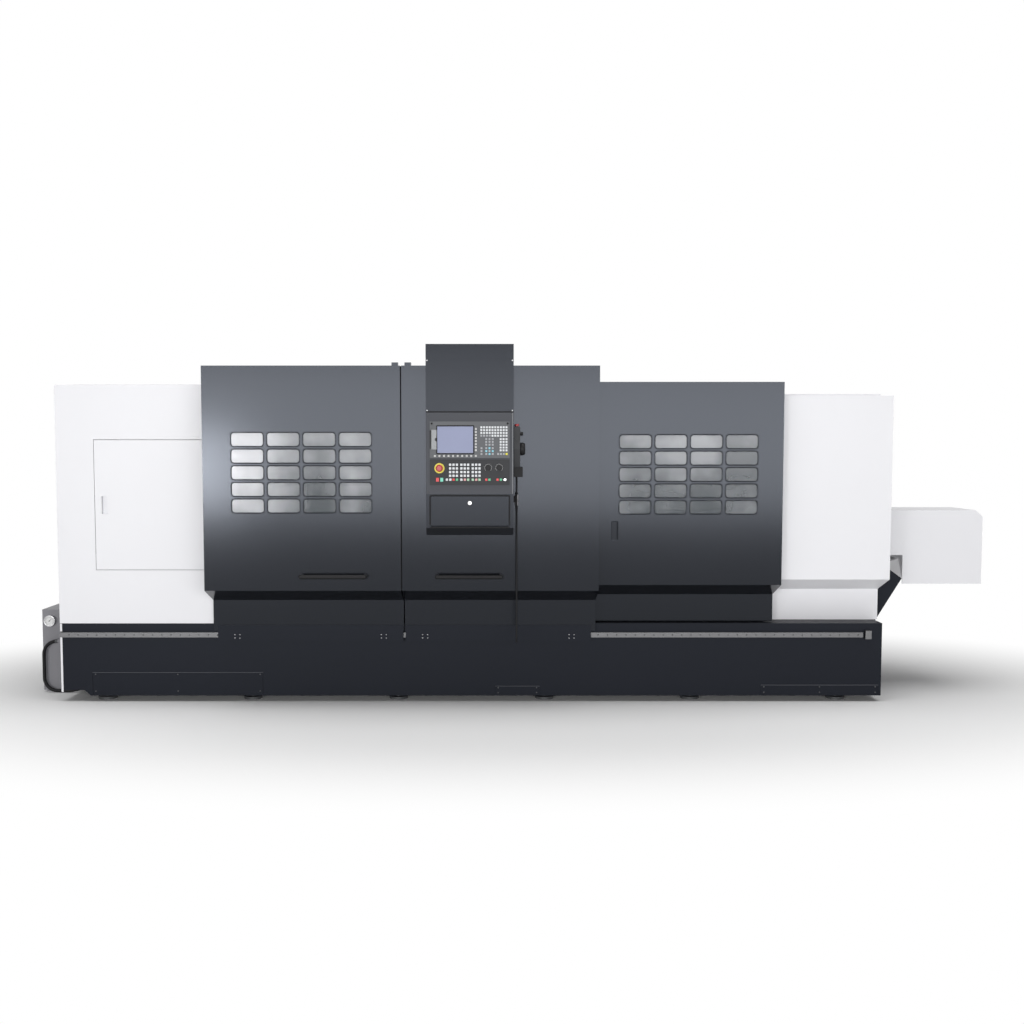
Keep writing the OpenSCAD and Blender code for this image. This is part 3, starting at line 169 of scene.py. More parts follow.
# Routes of the two cords, as in the solids
HOSE_D = 22.0
HOSE_Y = 530.0
HOSE_RUN = [(-123.3, 350), (-127, 350), (-131, 350), (-154, 347), (-175.5, 338), (-194, 324), (-208, 305.5),
            (-217, 284), (-220, 261), (-220, 220), (-220, 160), (-220, 101), (-217, 78), (-208, 56.5), (-194, 38),
            (-175.5, 24), (-154, 15), (-131, 12), (-95, 12), (-60, 12), (-24, 16), (12, 26), (48, 36), (84, 40),
            (92, 40), (99.7, 40)]
CABLE_D = 9.0
CABLE_X = 2950.0
CABLE_DROP = [(-85, 1530), (-85, 1400), (-85, 1250), (-85, 1050), (-85, 850), (-85, 680), (-85, 540), (-85, 480),
              (-80, 462), (-67, 449), (-49, 444), (-31, 449), (-18, 462), (-13, 480), (-13, 540), (-13, 680),
              (-13, 850), (-13, 1050), (-13, 1200), (-13, 1290)]
hose = cord_piece("supply_hose", [(x, HOSE_Y, z) for x, z in HOSE_RUN], HOSE_D, "frame")
cable = cord_piece("pendant_cable", [(CABLE_X, y, z) for y, z in CABLE_DROP], CABLE_D, "right_door")


# Finishes

def socket_group(name, inputs, outputs):
    """An empty shader group with named value or colour sockets."""
    group = bpy.data.node_groups.new(name, "ShaderNodeTree")
    for label, kind, value in inputs:
        socket = group.interface.new_socket(label, in_out="INPUT", socket_type=kind)
        socket.default_value = value
    for label, kind in outputs:
        group.interface.new_socket(label, in_out="OUTPUT", socket_type=kind)
    return group, group.nodes.new("NodeGroupInput"), group.nodes.new("NodeGroupOutput")


def noise_node(tree, scale, detail):
    """A noise texture on Object coordinates."""
    coords = tree.nodes.new("ShaderNodeTexCoord")
    noise = tree.nodes.new("ShaderNodeTexNoise")
    noise.inputs["Scale"].default_value = scale
    noise.inputs["Detail"].default_value = detail
    tree.links.new(coords.outputs["Object"], noise.inputs["Vector"])
    return noise


def mottle_group():
    """Broad and fine noise that lightens and darkens a colour and shifts its roughness a little."""
    group, given, out = socket_group(
        "mottle",
        [("Color", "NodeSocketColor", (0.5, 0.5, 0.5, 1)), ("Amount", "NodeSocketFloat", 0.1),
         ("Scale", "NodeSocketFloat", 3.0), ("Roughness", "NodeSocketFloat", 0.4)],
        [("Color", "NodeSocketColor"), ("Roughness", "NodeSocketFloat")])
    noise = noise_node(group, 3.0, 6.0)
    group.links.new(given.outputs["Scale"], noise.inputs["Scale"])
    swing = group.nodes.new("ShaderNodeMath")
    swing.operation = "SUBTRACT"
    swing.inputs[1].default_value = 0.5
    group.links.new(noise.outputs["Fac"], swing.inputs[0])
    part = group.nodes.new("ShaderNodeMath")
    part.operation = "MULTIPLY"
    group.links.new(swing.outputs[0], part.inputs[0])
    group.links.new(given.outputs["Amount"], part.inputs[1])
    gain = group.nodes.new("ShaderNodeMath")
    gain.operation = "MULTIPLY_ADD"
    gain.inputs[1].default_value = 2.0
    gain.inputs[2].default_value = 1.0
    group.links.new(part.outputs[0], gain.inputs[0])
    tint = group.nodes.new("ShaderNodeVectorMath")
    tint.operation = "SCALE"
    group.links.new(given.outputs["Color"], tint.inputs[0])
    group.links.new(gain.outputs[0], tint.inputs["Scale"])
    group.links.new(tint.outputs[0], out.inputs["Color"])
    rough = group.nodes.new("ShaderNodeMath")
    rough.operation = "ADD"
    rough.use_clamp = True
    group.links.new(given.outputs["Roughness"], rough.inputs[0])
    group.links.new(part.outputs[0], rough.inputs[1])
    group.links.new(rough.outputs[0], out.inputs["Roughness"])
    return group


def grain_group():
    """Fine bumps of sprayed paint or moulded plastic, as a height."""
    group, given, out = socket_group("grain", [("Scale", "NodeSocketFloat", 900.0)], [("Height", "NodeSocketFloat")])
    noise = noise_node(group, 900.0, 2.0)
    group.links.new(given.outputs["Scale"], noise.inputs["Scale"])
    group.links.new(noise.outputs["Fac"], out.inputs["Height"])
    return group


def brushed_group():
    """Long streaks along X, as a height."""
    group, given, out = socket_group("brushed", [("Scale", "NodeSocketFloat", 400.0)], [("Height", "NodeSocketFloat")])
    coords = group.nodes.new("ShaderNodeTexCoord")
    stretch = group.nodes.new("ShaderNodeMapping")
    stretch.inputs["Scale"].default_value = (0.02, 1.0, 1.0)
    noise = group.nodes.new("ShaderNodeTexNoise")
    noise.inputs["Detail"].default_value = 3.0
    group.links.new(coords.outputs["Object"], stretch.inputs["Vector"])
    group.links.new(stretch.outputs["Vector"], noise.inputs["Vector"])
    group.links.new(given.outputs["Scale"], noise.inputs["Scale"])
    group.links.new(noise.outputs["Fac"], out.inputs["Height"])
    return group


MOTTLE = mottle_group()
GRAIN = grain_group()
BRUSHED = brushed_group()


def finish(name, colour, roughness, mottle=0.1, mottle_scale=3.0, grain=900.0, depth=0.1, metallic=0.0,
           streaks=False, specular=0.5, tint=(1.0, 1.0, 1.0)):
    """A material: mottled colour and roughness, with grain or streaks as a bump."""
    material = bpy.data.materials.new(name)
    material.use_nodes = True
    tree = material.node_tree
    shader = tree.nodes["Principled BSDF"]
    shader.inputs["Metallic"].default_value = metallic
    shader.inputs["Specular IOR Level"].default_value = specular
    shader.inputs["Specular Tint"].default_value = (*tint, 1)
    mix = tree.nodes.new("ShaderNodeGroup")
    mix.node_tree = MOTTLE
    mix.inputs["Color"].default_value = (*colour, 1)
    mix.inputs["Amount"].default_value = mottle
    mix.inputs["Scale"].default_value = mottle_scale
    mix.inputs["Roughness"].default_value = roughness
    tree.links.new(mix.outputs["Color"], shader.inputs["Base Color"])
    tree.links.new(mix.outputs["Roughness"], shader.inputs["Roughness"])
    height = tree.nodes.new("ShaderNodeGroup")
    height.node_tree = BRUSHED if streaks else GRAIN
    height.inputs["Scale"].default_value = grain
    bump = tree.nodes.new("ShaderNodeBump")
    bump.inputs["Strength"].default_value = depth
    bump.inputs["Distance"].default_value = MM
    tree.links.new(height.outputs["Height"], bump.inputs["Height"])
    tree.links.new(bump.outputs["Normal"], shader.inputs["Normal"])
    return material


# Painted reflection on the window panes: the stops across the left pane and the rise with height make the plastic paler
# and less clear where a reflection is painted; the patches are random haze.
PAINTED_REFLECTION_STOPS = ((0.0, 1.0), (0.2, 0.96), (0.42, 0.45), (0.62, 0.2), (0.84, 0.58), (1.0, 0.36))
PAINTED_REFLECTION_UPWARD = (-0.3, 0.18)
HAZE_PATCHES = (-0.14, 0.14)
REFLECTION_AND_HAZE_ALPHA = (0.6, 0.97)
VEIL_CLEAR = (0.09, 0.105, 0.118, 1)
VEIL_PAINTED_REFLECTION = (0.64, 0.65, 0.68, 1)


def range_node(tree, value, source, target):
    """A value carried from one range to another, held at both ends."""
    node = tree.nodes.new("ShaderNodeMapRange")
    for label, number in zip(("From Min", "From Max", "To Min", "To Max"), (*source, *target)):
        node.inputs[label].default_value = number
    tree.links.new(value, node.inputs["Value"])
    return node.outputs["Result"]


def sum_node(tree, first, second):
    """Two values added and held between nought and one."""
    node = tree.nodes.new("ShaderNodeMath")
    node.operation = "ADD"
    node.use_clamp = True
    tree.links.new(first, node.inputs[0])
    tree.links.new(second, node.inputs[1])
    return node.outputs[0]


def pane_painted_reflection():
    """Clear window plastic under a painted reflection: pale at the left end of the left pane, darker in its third
    column and towards the bottom, with random patches of haze.
    """
    material = bpy.data.materials.new("window_plastic")
    material.use_nodes = True
    tree = material.node_tree
    shader = tree.nodes["Principled BSDF"]
    shader.inputs["Roughness"].default_value = 0.06
    shader.inputs["Specular IOR Level"].default_value = 0.15
    low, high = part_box("left_window")
    coords = tree.nodes.new("ShaderNodeTexCoord")
    split = tree.nodes.new("ShaderNodeSeparateXYZ")
    tree.links.new(coords.outputs["Object"], split.inputs["Vector"])
    ramp = tree.nodes.new("ShaderNodeValToRGB")
    stops = ramp.color_ramp.elements
    while len(stops) < len(PAINTED_REFLECTION_STOPS):
        stops.new(1.0)
    for stop, (position, level) in zip(stops, PAINTED_REFLECTION_STOPS):
        stop.position = position
        stop.color = (level, level, level, 1)
    across = range_node(tree, split.outputs["X"], (low[0], high[0]), (0.0, 1.0))
    tree.links.new(across, ramp.inputs["Fac"])
    upward = range_node(tree, split.outputs["Z"], (low[2], high[2]), PAINTED_REFLECTION_UPWARD)
    patches = range_node(tree, noise_node(tree, 3.5, 3.0).outputs["Fac"], (0.35, 0.65), HAZE_PATCHES)
    # Painted reflection plus random haze: it sets the pane's colour and its alpha.
    reflection_and_haze = sum_node(tree, sum_node(tree, ramp.outputs["Color"], upward), patches)
    tree.links.new(range_node(tree, reflection_and_haze, (0.0, 1.0), REFLECTION_AND_HAZE_ALPHA), shader.inputs["Alpha"])
    pane_tone = tree.nodes.new("ShaderNodeMix")
    pane_tone.data_type = "RGBA"
    pane_tone.inputs["A"].default_value = VEIL_CLEAR
    pane_tone.inputs["B"].default_value = VEIL_PAINTED_REFLECTION
    tree.links.new(reflection_and_haze, pane_tone.inputs["Factor"])
    tree.links.new(pane_tone.outputs["Result"], shader.inputs["Base Color"])
    return material


COOL = (0.82, 0.88, 1.0)
door_black = finish("door_black", (0.0052, 0.0058, 0.0078), 0.15, 0.02, 1.5, 400.0, 0.05, specular=0.32, tint=COOL)
box_black = finish("box_black", (0.0052, 0.0058, 0.0078), 0.22, 0.03, 2.0, 400.0, 0.06, specular=0.21, tint=COOL)
base_black = finish("base_black", (0.0085, 0.0095, 0.0135), 0.42, 0.06, 2.0, 400.0, 0.08, specular=0.13, tint=COOL)
cover_white = finish("cover_white", (0.74, 0.74, 0.765), 0.38, 0.03, 1.0, 400.0, 0.05)
plate_grey = finish("plate_grey", (0.052, 0.055, 0.065), 0.45, 0.1, 4.0, 800.0, 0.15, specular=0.22)
unit_grey = finish("unit_grey", (0.185, 0.183, 0.2), 0.45, 0.12, 4.0, 600.0, 0.2)
chute_grey = finish("chute_grey", (0.36, 0.36, 0.37), 0.45, 0.1, 4.0, 600.0, 0.15)
display_grey = finish("display_grey", (0.088, 0.092, 0.1), 0.5, 0.06, 6.0, 1500.0, 0.15, specular=0.4)
panel_dark = finish("panel_dark", (0.024, 0.025, 0.028), 0.5, 0.08, 6.0, 1500.0, 0.15, specular=0.25)
rail_steel = finish("rail_steel", (0.12, 0.12, 0.124), 0.4, 0.15, 8.0, 500.0, 0.2, metallic=1.0, streaks=True)
flap_silver = finish("flap_silver", (0.17, 0.175, 0.18), 0.5, 0.12, 12.0, 700.0, 0.15, metallic=1.0, streaks=True)
machined_steel = finish("machined_steel", (0.5, 0.5, 0.51), 0.3, 0.1, 6.0, 700.0, 0.15, metallic=1.0)
dark_steel = finish("dark_steel", (0.05, 0.052, 0.056), 0.45, 0.2, 5.0, 700.0, 0.2)
casting_grey = finish("casting_grey", (0.24, 0.27, 0.29), 0.5, 0.15, 4.0, 250.0, 0.3)
black_rubber = finish("black_rubber", (0.008, 0.008, 0.009), 0.6, 0.2, 12.0, 900.0, 0.2, specular=0.2)
dark_plastic = finish("dark_plastic", (0.012, 0.012, 0.013), 0.4, 0.1, 10.0, 1800.0, 0.15, specular=0.16)
red_plastic = finish("red_plastic", (0.4, 0.012, 0.018), 0.3, 0.08, 14.0, 1500.0, 0.08)
key_red = finish("key_red", (0.62, 0.035, 0.04), 0.4, 0.05, 30.0, 1500.0, 0.08)
green_plastic = finish("green_plastic", (0.12, 0.55, 0.4), 0.3, 0.08, 14.0, 1500.0, 0.08)
screen_glass = finish("screen_glass", (0.29, 0.315, 0.45), 0.3, 0.06, 5.0, 300.0, 0.01, specular=0.08)
window_plastic = pane_painted_reflection()

NODE_FINISH = {
    door_black: "left_door right_door tail_door",
    box_black: "control_box control_box_cap storage_flap",
    base_black: "base_frame left_apron right_apron conveyor_casing",
    cover_white: "headstock_cabinet tail_cover rear_enclosure discharge_hood "
                 "electrical_cabinet electrical_door access_door door_beam",
    plate_grey: "operator_plate",
    unit_grey: "hydraulic_unit",
    chute_grey: "conveyor_head",
    display_grey: "display_unit",
    panel_dark: "machine_panel pendant_body",
    rail_steel: "guide_rails",
    flap_silver: "interface_flap",
    machined_steel: "key_switch spindle quill feed_screw pressure_gauge",
    dark_steel: "levelling_feet conveyor_motor spindle_motor feed_motor "
                "jaw_a jaw_b jaw_c tool_turret",
    casting_grey: "bed headstock carriage cross_slide tailstock",
    black_rubber: "supply_hose pendant_cable pendant_holder",
    dark_plastic: "left_handle right_handle feed_knob spindle_knob pendant_wheel pendant_knob",
    red_plastic: "emergency_button pendant_stop_button",
    key_red: "cycle_stop_button",
    green_plastic: "cycle_start_button",
    screen_glass: "display_screen",
    window_plastic: "left_window tail_window",
}


def paint(piece, material):
    """One material over a whole piece."""
    piece.data.materials.clear()
    piece.data.materials.append(material)
    return piece


for material, names in NODE_FINISH.items():
    for name in names.split():
        paint(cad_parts[name], material)
paint(hose, black_rubber)
paint(cable, black_rubber)


# Small surfaces

def rounded_loop(width, height, radius, steps=5):
    """Outline of a rectangle with round corners, anticlockwise, with its outward normals."""
    turn = (np.arange(4)[:, None] * 90 + np.linspace(0, 90, steps)[None, :]).ravel() * np.pi / 180
    normal = np.stack([np.cos(turn), np.sin(turn)], axis=1)
    corner = np.repeat(np.array([[1, 1], [-1, 1], [-1, -1], [1, -1]]), steps, axis=0)
    middle = corner * (np.array([width, height]) / 2 - radius)
    return middle + radius * normal, normal


def repeat_mesh(points, faces, shifts):
    """One mesh made of the same points moved by each shift."""
    points = np.asarray(points, float).reshape(-1, 3)
    shifts = np.asarray(shifts, float)
    every = (shifts[:, None, :] + points[None, :, :]).reshape(-1, 3)
    step = len(points)
    lists = [[i + k * step for i in face] for k in range(len(shifts)) for face in faces]
    return every, lists


def bead_ring(width, height, radius, profile):
    """A profile of (outward, out) points carried round a rectangle with round corners."""
    loop, normal = rounded_loop(width, height, radius)
    profile = np.asarray(profile, float)
    flat = loop[:, None, :] + normal[:, None, :] * profile[None, :, :1]
    out = np.broadcast_to(profile[None, :, 1:], flat.shape[:2] + (1,))
    return np.concatenate([flat, out], axis=2), grid_faces(len(loop), len(profile), True, True)


def cushion_pad(width, height, radius, rise, dome):
    """A key top: its rounded outline rises, turns in over a small edge and swells to a low dome."""
    loop, normal = rounded_loop(width, height, radius, 4)
    rows = [loop, loop, loop - 0.5 * normal, loop * 0.6, loop * 0.2]
    heights = [0, rise - 0.4, rise, rise + 0.75 * dome, rise + dome]
    points = np.stack([np.column_stack([r, np.full(len(r), h)]) for r, h in zip(rows, heights)])
    return points.reshape(-1, 3), capped_faces(len(rows), len(loop))


def turned(profile, sides, ring=False):
    """A profile of (radius, out) points turned round the outward axis: a closed ring, or a disc with two flat ends."""
    profile = np.asarray(profile, float)
    angle = np.linspace(0, 2 * np.pi, sides, endpoint=False)
    points = np.stack([profile[:, None, 0] * np.cos(angle), profile[:, None, 0] * np.sin(angle),
                       np.broadcast_to(profile[:, None, 1], (len(profile), sides))], axis=-1)
    faces = grid_faces(len(profile), sides, True, True).tolist() if ring else capped_faces(len(profile), sides)
    return points.reshape(-1, 3), faces


def cup_liner(width, height, radius, depth):
    """A liner of a recess: its outline runs up the outside, over a lip and down the inside to a floor."""
    loop, normal = rounded_loop(width, height, radius, 4)
    rows = [(-0.3, 0.2 - depth), (-0.3, 0.0), (4.0, 0.1), (4.0, 1.2), (3.0, 1.8), (0.0, 1.6), (-1.8, 0.2),
            (-2.0, 1.6 - depth)]
    points = np.stack([np.column_stack([loop + grow * normal, np.full(len(loop), out)]) for grow, out in rows])
    return points.reshape(-1, 3), capped_faces(len(rows), len(loop))


def socket_screw(d):
    """Button head of a socket screw: a low dome with a hollow in its middle, and a closed floor."""
    r = d / 2
    profile = [(r, 0), (r, 0.12 * d), (0.92 * r, 0.25 * d), (0.7 * r, 0.36 * d), (0.42 * r, 0.4 * d),
               (0.38 * r, 0.38 * d), (0.36 * r, 0.16 * d)]
    return turned(profile, 12)


def front_pieces(name, shape, centres, body, material, smooth=False):
    """Copies of one shape on faces that look at the operator, as one piece."""
    points, faces = shape
    local = np.asarray(points, float).reshape(-1, 3)
    solid = np.stack([local[:, 0], -local[:, 2], local[:, 1]], axis=1)
    every, lists = repeat_mesh(solid, faces, centres)
    piece = mesh_piece(name, place_all(every), lists, body, smooth)
    return paint(piece, material)


def grid_centres(first, count, pitch):
    """Middles of a grid of columns and rows."""
    c, r = np.meshgrid(np.arange(count[0]), np.arange(count[1]))
    return np.column_stack([first[0] + c.ravel() * pitch[0], first[1] + r.ravel() * pitch[1]])


# Windows: a bead round every slot
SLOT = np.array([202.0, 87.0])
SLOT_PITCH = np.array([223.0, 103.0])
SLOT_RADIUS = 20.0
BEAD = [(-3.0, 0.2), (-2.0, 1.4), (0.5, 2.2), (3.0, 1.6), (4.2, 0.1), (0.0, 0.1), (-0.1, -3.0), (-3.4, -3.0)]


def window_beads(name, pane, y, body):
    """Beads on the edges of the four by five slots over a window pane."""
    low, high = span(pane)
    middle = (low + high)[[0, 2]] / 2
    at = grid_centres(middle - SLOT_PITCH * (1.5, 2.0), (4, 5), SLOT_PITCH)
    centres = np.column_stack([at[:, 0], np.full(len(at), y), at[:, 1]])
    shape = bead_ring(*SLOT, SLOT_RADIUS, BEAD)
    return front_pieces(name, shape, centres, body, door_black, smooth=True)


tail_low = span("tail_door")[0]
window_beads("left_window_beads", "left_window", 0.0, "left_door")
window_beads("tail_window_beads", "tail_window", tail_low[1], "tail_door")

# Liner of the tail door's pull
PULL = np.array([38.0, 114.0])
PULL_DEPTH = 22.0
PULL_SIDE = 115.0
PULL_BOTTOM = 1068.0
tail_pull = (tail_low[0] + PULL_SIDE + PULL[0] / 2, tail_low[1], PULL_BOTTOM + PULL[1] / 2)
front_pieces("tail_pull_liner", cup_liner(*PULL, radius=3.0, depth=PULL_DEPTH), [tail_pull], "tail_door",
             box_black)

# Rubber seam between the two main doors
SEAM_LEVELS = np.linspace(762.0, 2150.0, 30)
SEAM_MIDDLE = 13.0
SEAM_HALF = 11.0
SEAM_ROOM = 1.0


def seam_strip():
    """A nosed strip: half an ellipse in plan, carried up the meeting edge of the left door."""
    left_end = span("left_door")[1][0]
    nose = span("right_door")[0][0] - left_end - SEAM_ROOM
    turn = np.linspace(-np.pi / 2, np.pi / 2, 9)
    plan = np.column_stack([left_end + nose * np.cos(turn), SEAM_MIDDLE + SEAM_HALF * np.sin(turn)])
    points = np.stack([np.column_stack([plan, np.full(len(plan), z)]) for z in SEAM_LEVELS])
    piece = mesh_piece("door_seam_strip", place_all(points), capped_faces(len(SEAM_LEVELS), len(plan)), "left_door")
    return paint(piece, black_rubber)


seam_strip()

# Keys of the display unit and of the machine panel
PLATE_FRONT = span("operator_plate")[0][1]
UNIT_LEFT = span("display_unit")[0][0]
DISPLAY_OUT = 8.0
PANEL_OUT = 6.0
UNIT_FACE = {"display_unit": PLATE_FRONT - DISPLAY_OUT, "machine_panel": PLATE_FRONT - PANEL_OUT}
UNIT_TOP = {unit: span(unit)[1][2] for unit in UNIT_FACE}
KEY_RISE = 2.0
DISPLAY_KEY = 12
PANEL_KEY = 14
ROW = 121.5


def unit_at(unit, x, y, out):
    """A place on a unit from its upper left corner, some millimetres out of its face."""
    return np.array([UNIT_LEFT + x, UNIT_FACE[unit] - out, UNIT_TOP[unit] - y])


def key_finish(name, colour):
    """Smooth plastic of a key top."""
    return finish(name, colour, 0.4, 0.05, 30.0, 1500.0, 0.08)


def key_tops(name, unit, groups, size, material):
    """Domed tops on groups of keys of a unit, as one piece."""
    centres = [unit_at(unit, x, y, KEY_RISE) for x, y in np.vstack(groups)]
    shape = cushion_pad(size, size, radius=1.6, rise=0.9, dome=0.3)
    return front_pieces(name, shape, centres, "right_door", material)


def in_row(*places):
    """Places of keys in the lowest row of the machine panel."""
    return [(x, ROW) for x in places]


key_white = key_finish("key_white", (0.62, 0.64, 0.66))
key_grey = key_finish("key_grey", (0.3, 0.31, 0.33))
key_pale = key_finish("key_pale", (0.46, 0.46, 0.46))
key_yellow = key_finish("key_yellow", (0.75, 0.66, 0.03))
key_cyan = key_finish("key_cyan", (0.2, 0.5, 0.6))
key_green = key_finish("key_green", (0.08, 0.4, 0.2))
key_pink = key_finish("key_pink", (0.6, 0.3, 0.3))
key_pale_green = key_finish("key_pale_green", (0.35, 0.55, 0.38))

letters = grid_centres((312, 35), (10, 4), (16.9, 17))
numbers = grid_centres((429, 106), (3, 5), (17.5, 17))
edits = grid_centres((342, 106), (3, 3), (19.5, 17))
cursor = grid_centres((342, 161), (3, 3), (19.5, 17.5))
pages = grid_centres((313, 161), (1, 3), (0, 17.5))
bottom = grid_centres((414, 196), (4, 1), (17, 0))
soft_side = grid_centres((279, 45), (1, 8), (0, 18.3))
soft_foot = grid_centres((31, 208), (10, 1), (27.5, 0))
cross = [1, 3, 5, 7]
DISPLAY_KEYS = (
    ("letter_keys", [letters[:30], letters[34:], numbers], key_white),
    ("edit_keys", [letters[30:34], edits, pages, bottom[:3]], key_grey),
    ("soft_keys", [soft_side, soft_foot], key_pale),
    ("cursor_keys", [cursor[cross]], key_cyan),
    ("page_keys", [np.delete(cursor, cross, axis=0)], key_grey),
    ("shift_key", [bottom[3:]], key_yellow),
)
modes = [grid_centres((x, 31), (3, 4), (20.5, 22.3)) for x in (123, 191, 260)]
PANEL_KEYS = (
    ("mode_keys", [*modes, in_row(103, 124, 191)], key_white),
    ("stop_keys", [in_row(144, 342, 410)], key_red),
    ("start_keys", [in_row(164, 361, 430)], key_green),
    ("coolant_keys", [in_row(212, 281)], key_pink),
    ("chuck_keys", [in_row(232, 260, 301)], key_pale_green),
)
for name, groups, material in DISPLAY_KEYS:
    key_tops(name, "display_unit", groups, DISPLAY_KEY, material)
for name, groups, material in PANEL_KEYS:
    key_tops(name, "machine_panel", groups, PANEL_KEY, material)

# Rings and dials of the machine panel
safety_yellow = finish("safety_yellow", (0.72, 0.62, 0.06), 0.4, 0.06, 20.0, 1500.0, 0.08)
dial_white = finish("dial_white", (0.7, 0.7, 0.7), 0.45, 0.04, 20.0, 1500.0, 0.05)
STOP_AT = unit_at("machine_panel", 58, 52, 3.1)
STOP_RING = [(30.8, -2.6), (30.8, 0.0), (30.5, 0.8), (28.0, 1.4), (12.0, 1.6), (9.0, 1.0), (9.0, 0.1)]
front_pieces("stop_ring", turned(STOP_RING, 48, ring=True), [STOP_AT], "right_door", safety_yellow)
BAR_FACES = np.array([(0, 3, 2, 1), (4, 5, 6, 7), (0, 1, 5, 4), (1, 2, 6, 5), (2, 3, 7, 6), (3, 0, 4, 7)])
TICK_RISE = 0.35


def tick_marks(radius, length, width, start, end, count):
    """Short bars that point at a centre, spread between two angles."""
    angle = np.radians(np.linspace(start, end, count))
    along = np.stack([np.sin(angle), np.cos(angle)], axis=1)
    across = np.stack([along[:, 1], -along[:, 0]], axis=1)
    corners = [(radius, -width), (radius, width), (radius + length, width), (radius + length, -width)]
    flat = np.stack([along * r + across * w / 2 for r, w in corners], axis=1)
    levels = [np.concatenate([flat, np.full((count, 4, 1), rise)], axis=2) for rise in (0.0, TICK_RISE)]
    faces = np.arange(count)[:, None, None] * 8 + BAR_FACES[None]
    return np.concatenate(levels, axis=1).reshape(-1, 3), faces.reshape(-1, 4).tolist()


KNOBS = [unit_at("machine_panel", x, 49, 2.0) for x in (353, 420)]
front_pieces("knob_scales", tick_marks(19.0, 4.5, 0.9, -135, 135, 19), KNOBS, "right_door", dial_white)
KEY_AT = unit_at("machine_panel", 455, ROW, 3.05)
KEY_COLLAR = [(12.0, -2.0), (12.0, 0.0), (11.8, 0.9), (10.5, 1.6), (8.8, 1.2), (8.6, 0.1)]
front_pieces("key_collar", turned(KEY_COLLAR, 32, ring=True), [KEY_AT], "right_door", dark_plastic)

# Screws
bright_steel = finish("bright_steel", (0.5, 0.5, 0.51), 0.36, 0.05, 20.0, 900.0, 0.05, metallic=1.0)
bolt_steel = finish("bolt_steel", (0.3, 0.3, 0.31), 0.4, 0.1, 20.0, 900.0, 0.1, metallic=1.0)
plate_steel = finish("plate_steel", (0.55, 0.55, 0.56), 0.32, 0.08, 20.0, 900.0, 0.1, metallic=1.0)
plate_low, plate_high = span("operator_plate")
plate_middle = (plate_low + plate_high) / 2
box_low, box_high = span("control_box")
FLAP_LUG_OUT = 10
box_front = box_low[1] + FLAP_LUG_OUT
rail_low, rail_high = span("guide_rails")
base_low, base_high = span("base_frame")
PLATE_INSET = (10, 12)
BOX_INSET = (8, 12)
LATCH_DROP = 12
ROLLER_INSET = 125
BOLT_HALF = 16
BOLT_LEVELS = (424, 446)
RAIL_PITCH = 60.0
RAIL_ENDS = (60, 80)
RAIL_SCREW_Y = 232.0
RAIL_SCREW_Z = 441.0
COVER_SCREWS = (((224, 758, 1292), (70, 180)), ((2838, 3088), (60, 92)), ((4565, 4926, 5288), (62, 98)))


def on_front(xs, zs, y):
    """Places at every pair of a list of X and a list of Z on a front at y."""
    return np.array([(x, y, z) for x in xs for z in zs], float)


def apron_bolts(name, node, body):
    """Groups of four bolts that hold the lower rollers of a door behind its apron."""
    low, high = span(node)
    middles = (low[0] + ROLLER_INSET, high[0] - ROLLER_INSET)
    at = on_front([m + dx for m in middles for dx in (-BOLT_HALF, BOLT_HALF)], BOLT_LEVELS, low[1])
    return front_pieces(name, socket_screw(9), at, body, bolt_steel)


plate_xs = (plate_low[0] + PLATE_INSET[0], plate_middle[0], plate_high[0] - PLATE_INSET[0])
plate_zs = (plate_low[2] + PLATE_INSET[1], plate_high[2] - PLATE_INSET[1])
front_pieces("plate_screws", socket_screw(8), on_front(plate_xs, plate_zs, plate_low[1]), "right_door",
             dark_steel)
box_xs = (box_low[0] + BOX_INSET[0], box_high[0] - BOX_INSET[0])
box_zs = (plate_high[2] + BOX_INSET[1], box_high[2] - BOX_INSET[0])
front_pieces("box_screws", socket_screw(9), on_front(box_xs, box_zs, box_front), "right_door",
             plate_steel)
latches = [unit_at("display_unit", x, LATCH_DROP, 0.0) for x in (12, 471)]
front_pieces("display_latches", socket_screw(13), latches, "right_door", dark_plastic)
apron_bolts("left_apron_bolts", "left_apron", "left_door")
apron_bolts("right_apron_bolts", "right_apron", "right_door")
rail_xs = np.arange(rail_low[0] + RAIL_ENDS[0], rail_high[0] - RAIL_ENDS[1], RAIL_PITCH)
rail_screws = on_front(rail_xs, [RAIL_SCREW_Z], RAIL_SCREW_Y)
front_pieces("rail_screws", socket_screw(9), rail_screws, "frame", dark_steel)
cover_screws = np.vstack([on_front(xs, zs, base_low[1]) for xs, zs in COVER_SCREWS])
front_pieces("base_cover_screws", socket_screw(10), cover_screws, "frame", dark_steel)

# White edging on the left end of the base, below and above the rail
EDGING_X = 6.8
EDGING_WIDTH = 13
RAIL_LAP = 9.5
EDGINGS = (("base_edging", 64.0, rail_low[2] + RAIL_LAP), ("base_upper_edging", rail_high[2] - RAIL_LAP, 512.0))
for name, low, high in EDGINGS:
    front_pieces(name, cushion_pad(EDGING_WIDTH, high - low, radius=1.0, rise=1.4, dome=0.2),
                 [(EDGING_X, base_low[1], (low + high) / 2)], "frame", cover_white)


# Strips on the operator box and on the covers of the base
def front_strip(name, across, upward, y, out, body, material):
    """A long bar on a front: a rounded section, out from the face, carried along X."""
    turn = np.linspace(0, np.pi, 9)
    mid, half = (upward[0] + upward[1]) / 2, (upward[1] - upward[0]) / 2
    section = np.column_stack([y - out * np.sin(turn) ** 0.6, mid + half * np.cos(turn)])
    xs = np.linspace(*across, 40)
    points = np.stack([np.column_stack([np.full(len(section), x), section]) for x in xs])
    piece = mesh_piece(name, place_all(points), capped_faces(len(xs), len(section)), body)
    return paint(piece, material)


front_strip("panel_gasket", (box_low[0] + 1, box_high[0] - 1), (plate_high[2] + 0.5, plate_high[2] + 8), box_front, 3.0,
            "right_door", black_rubber)
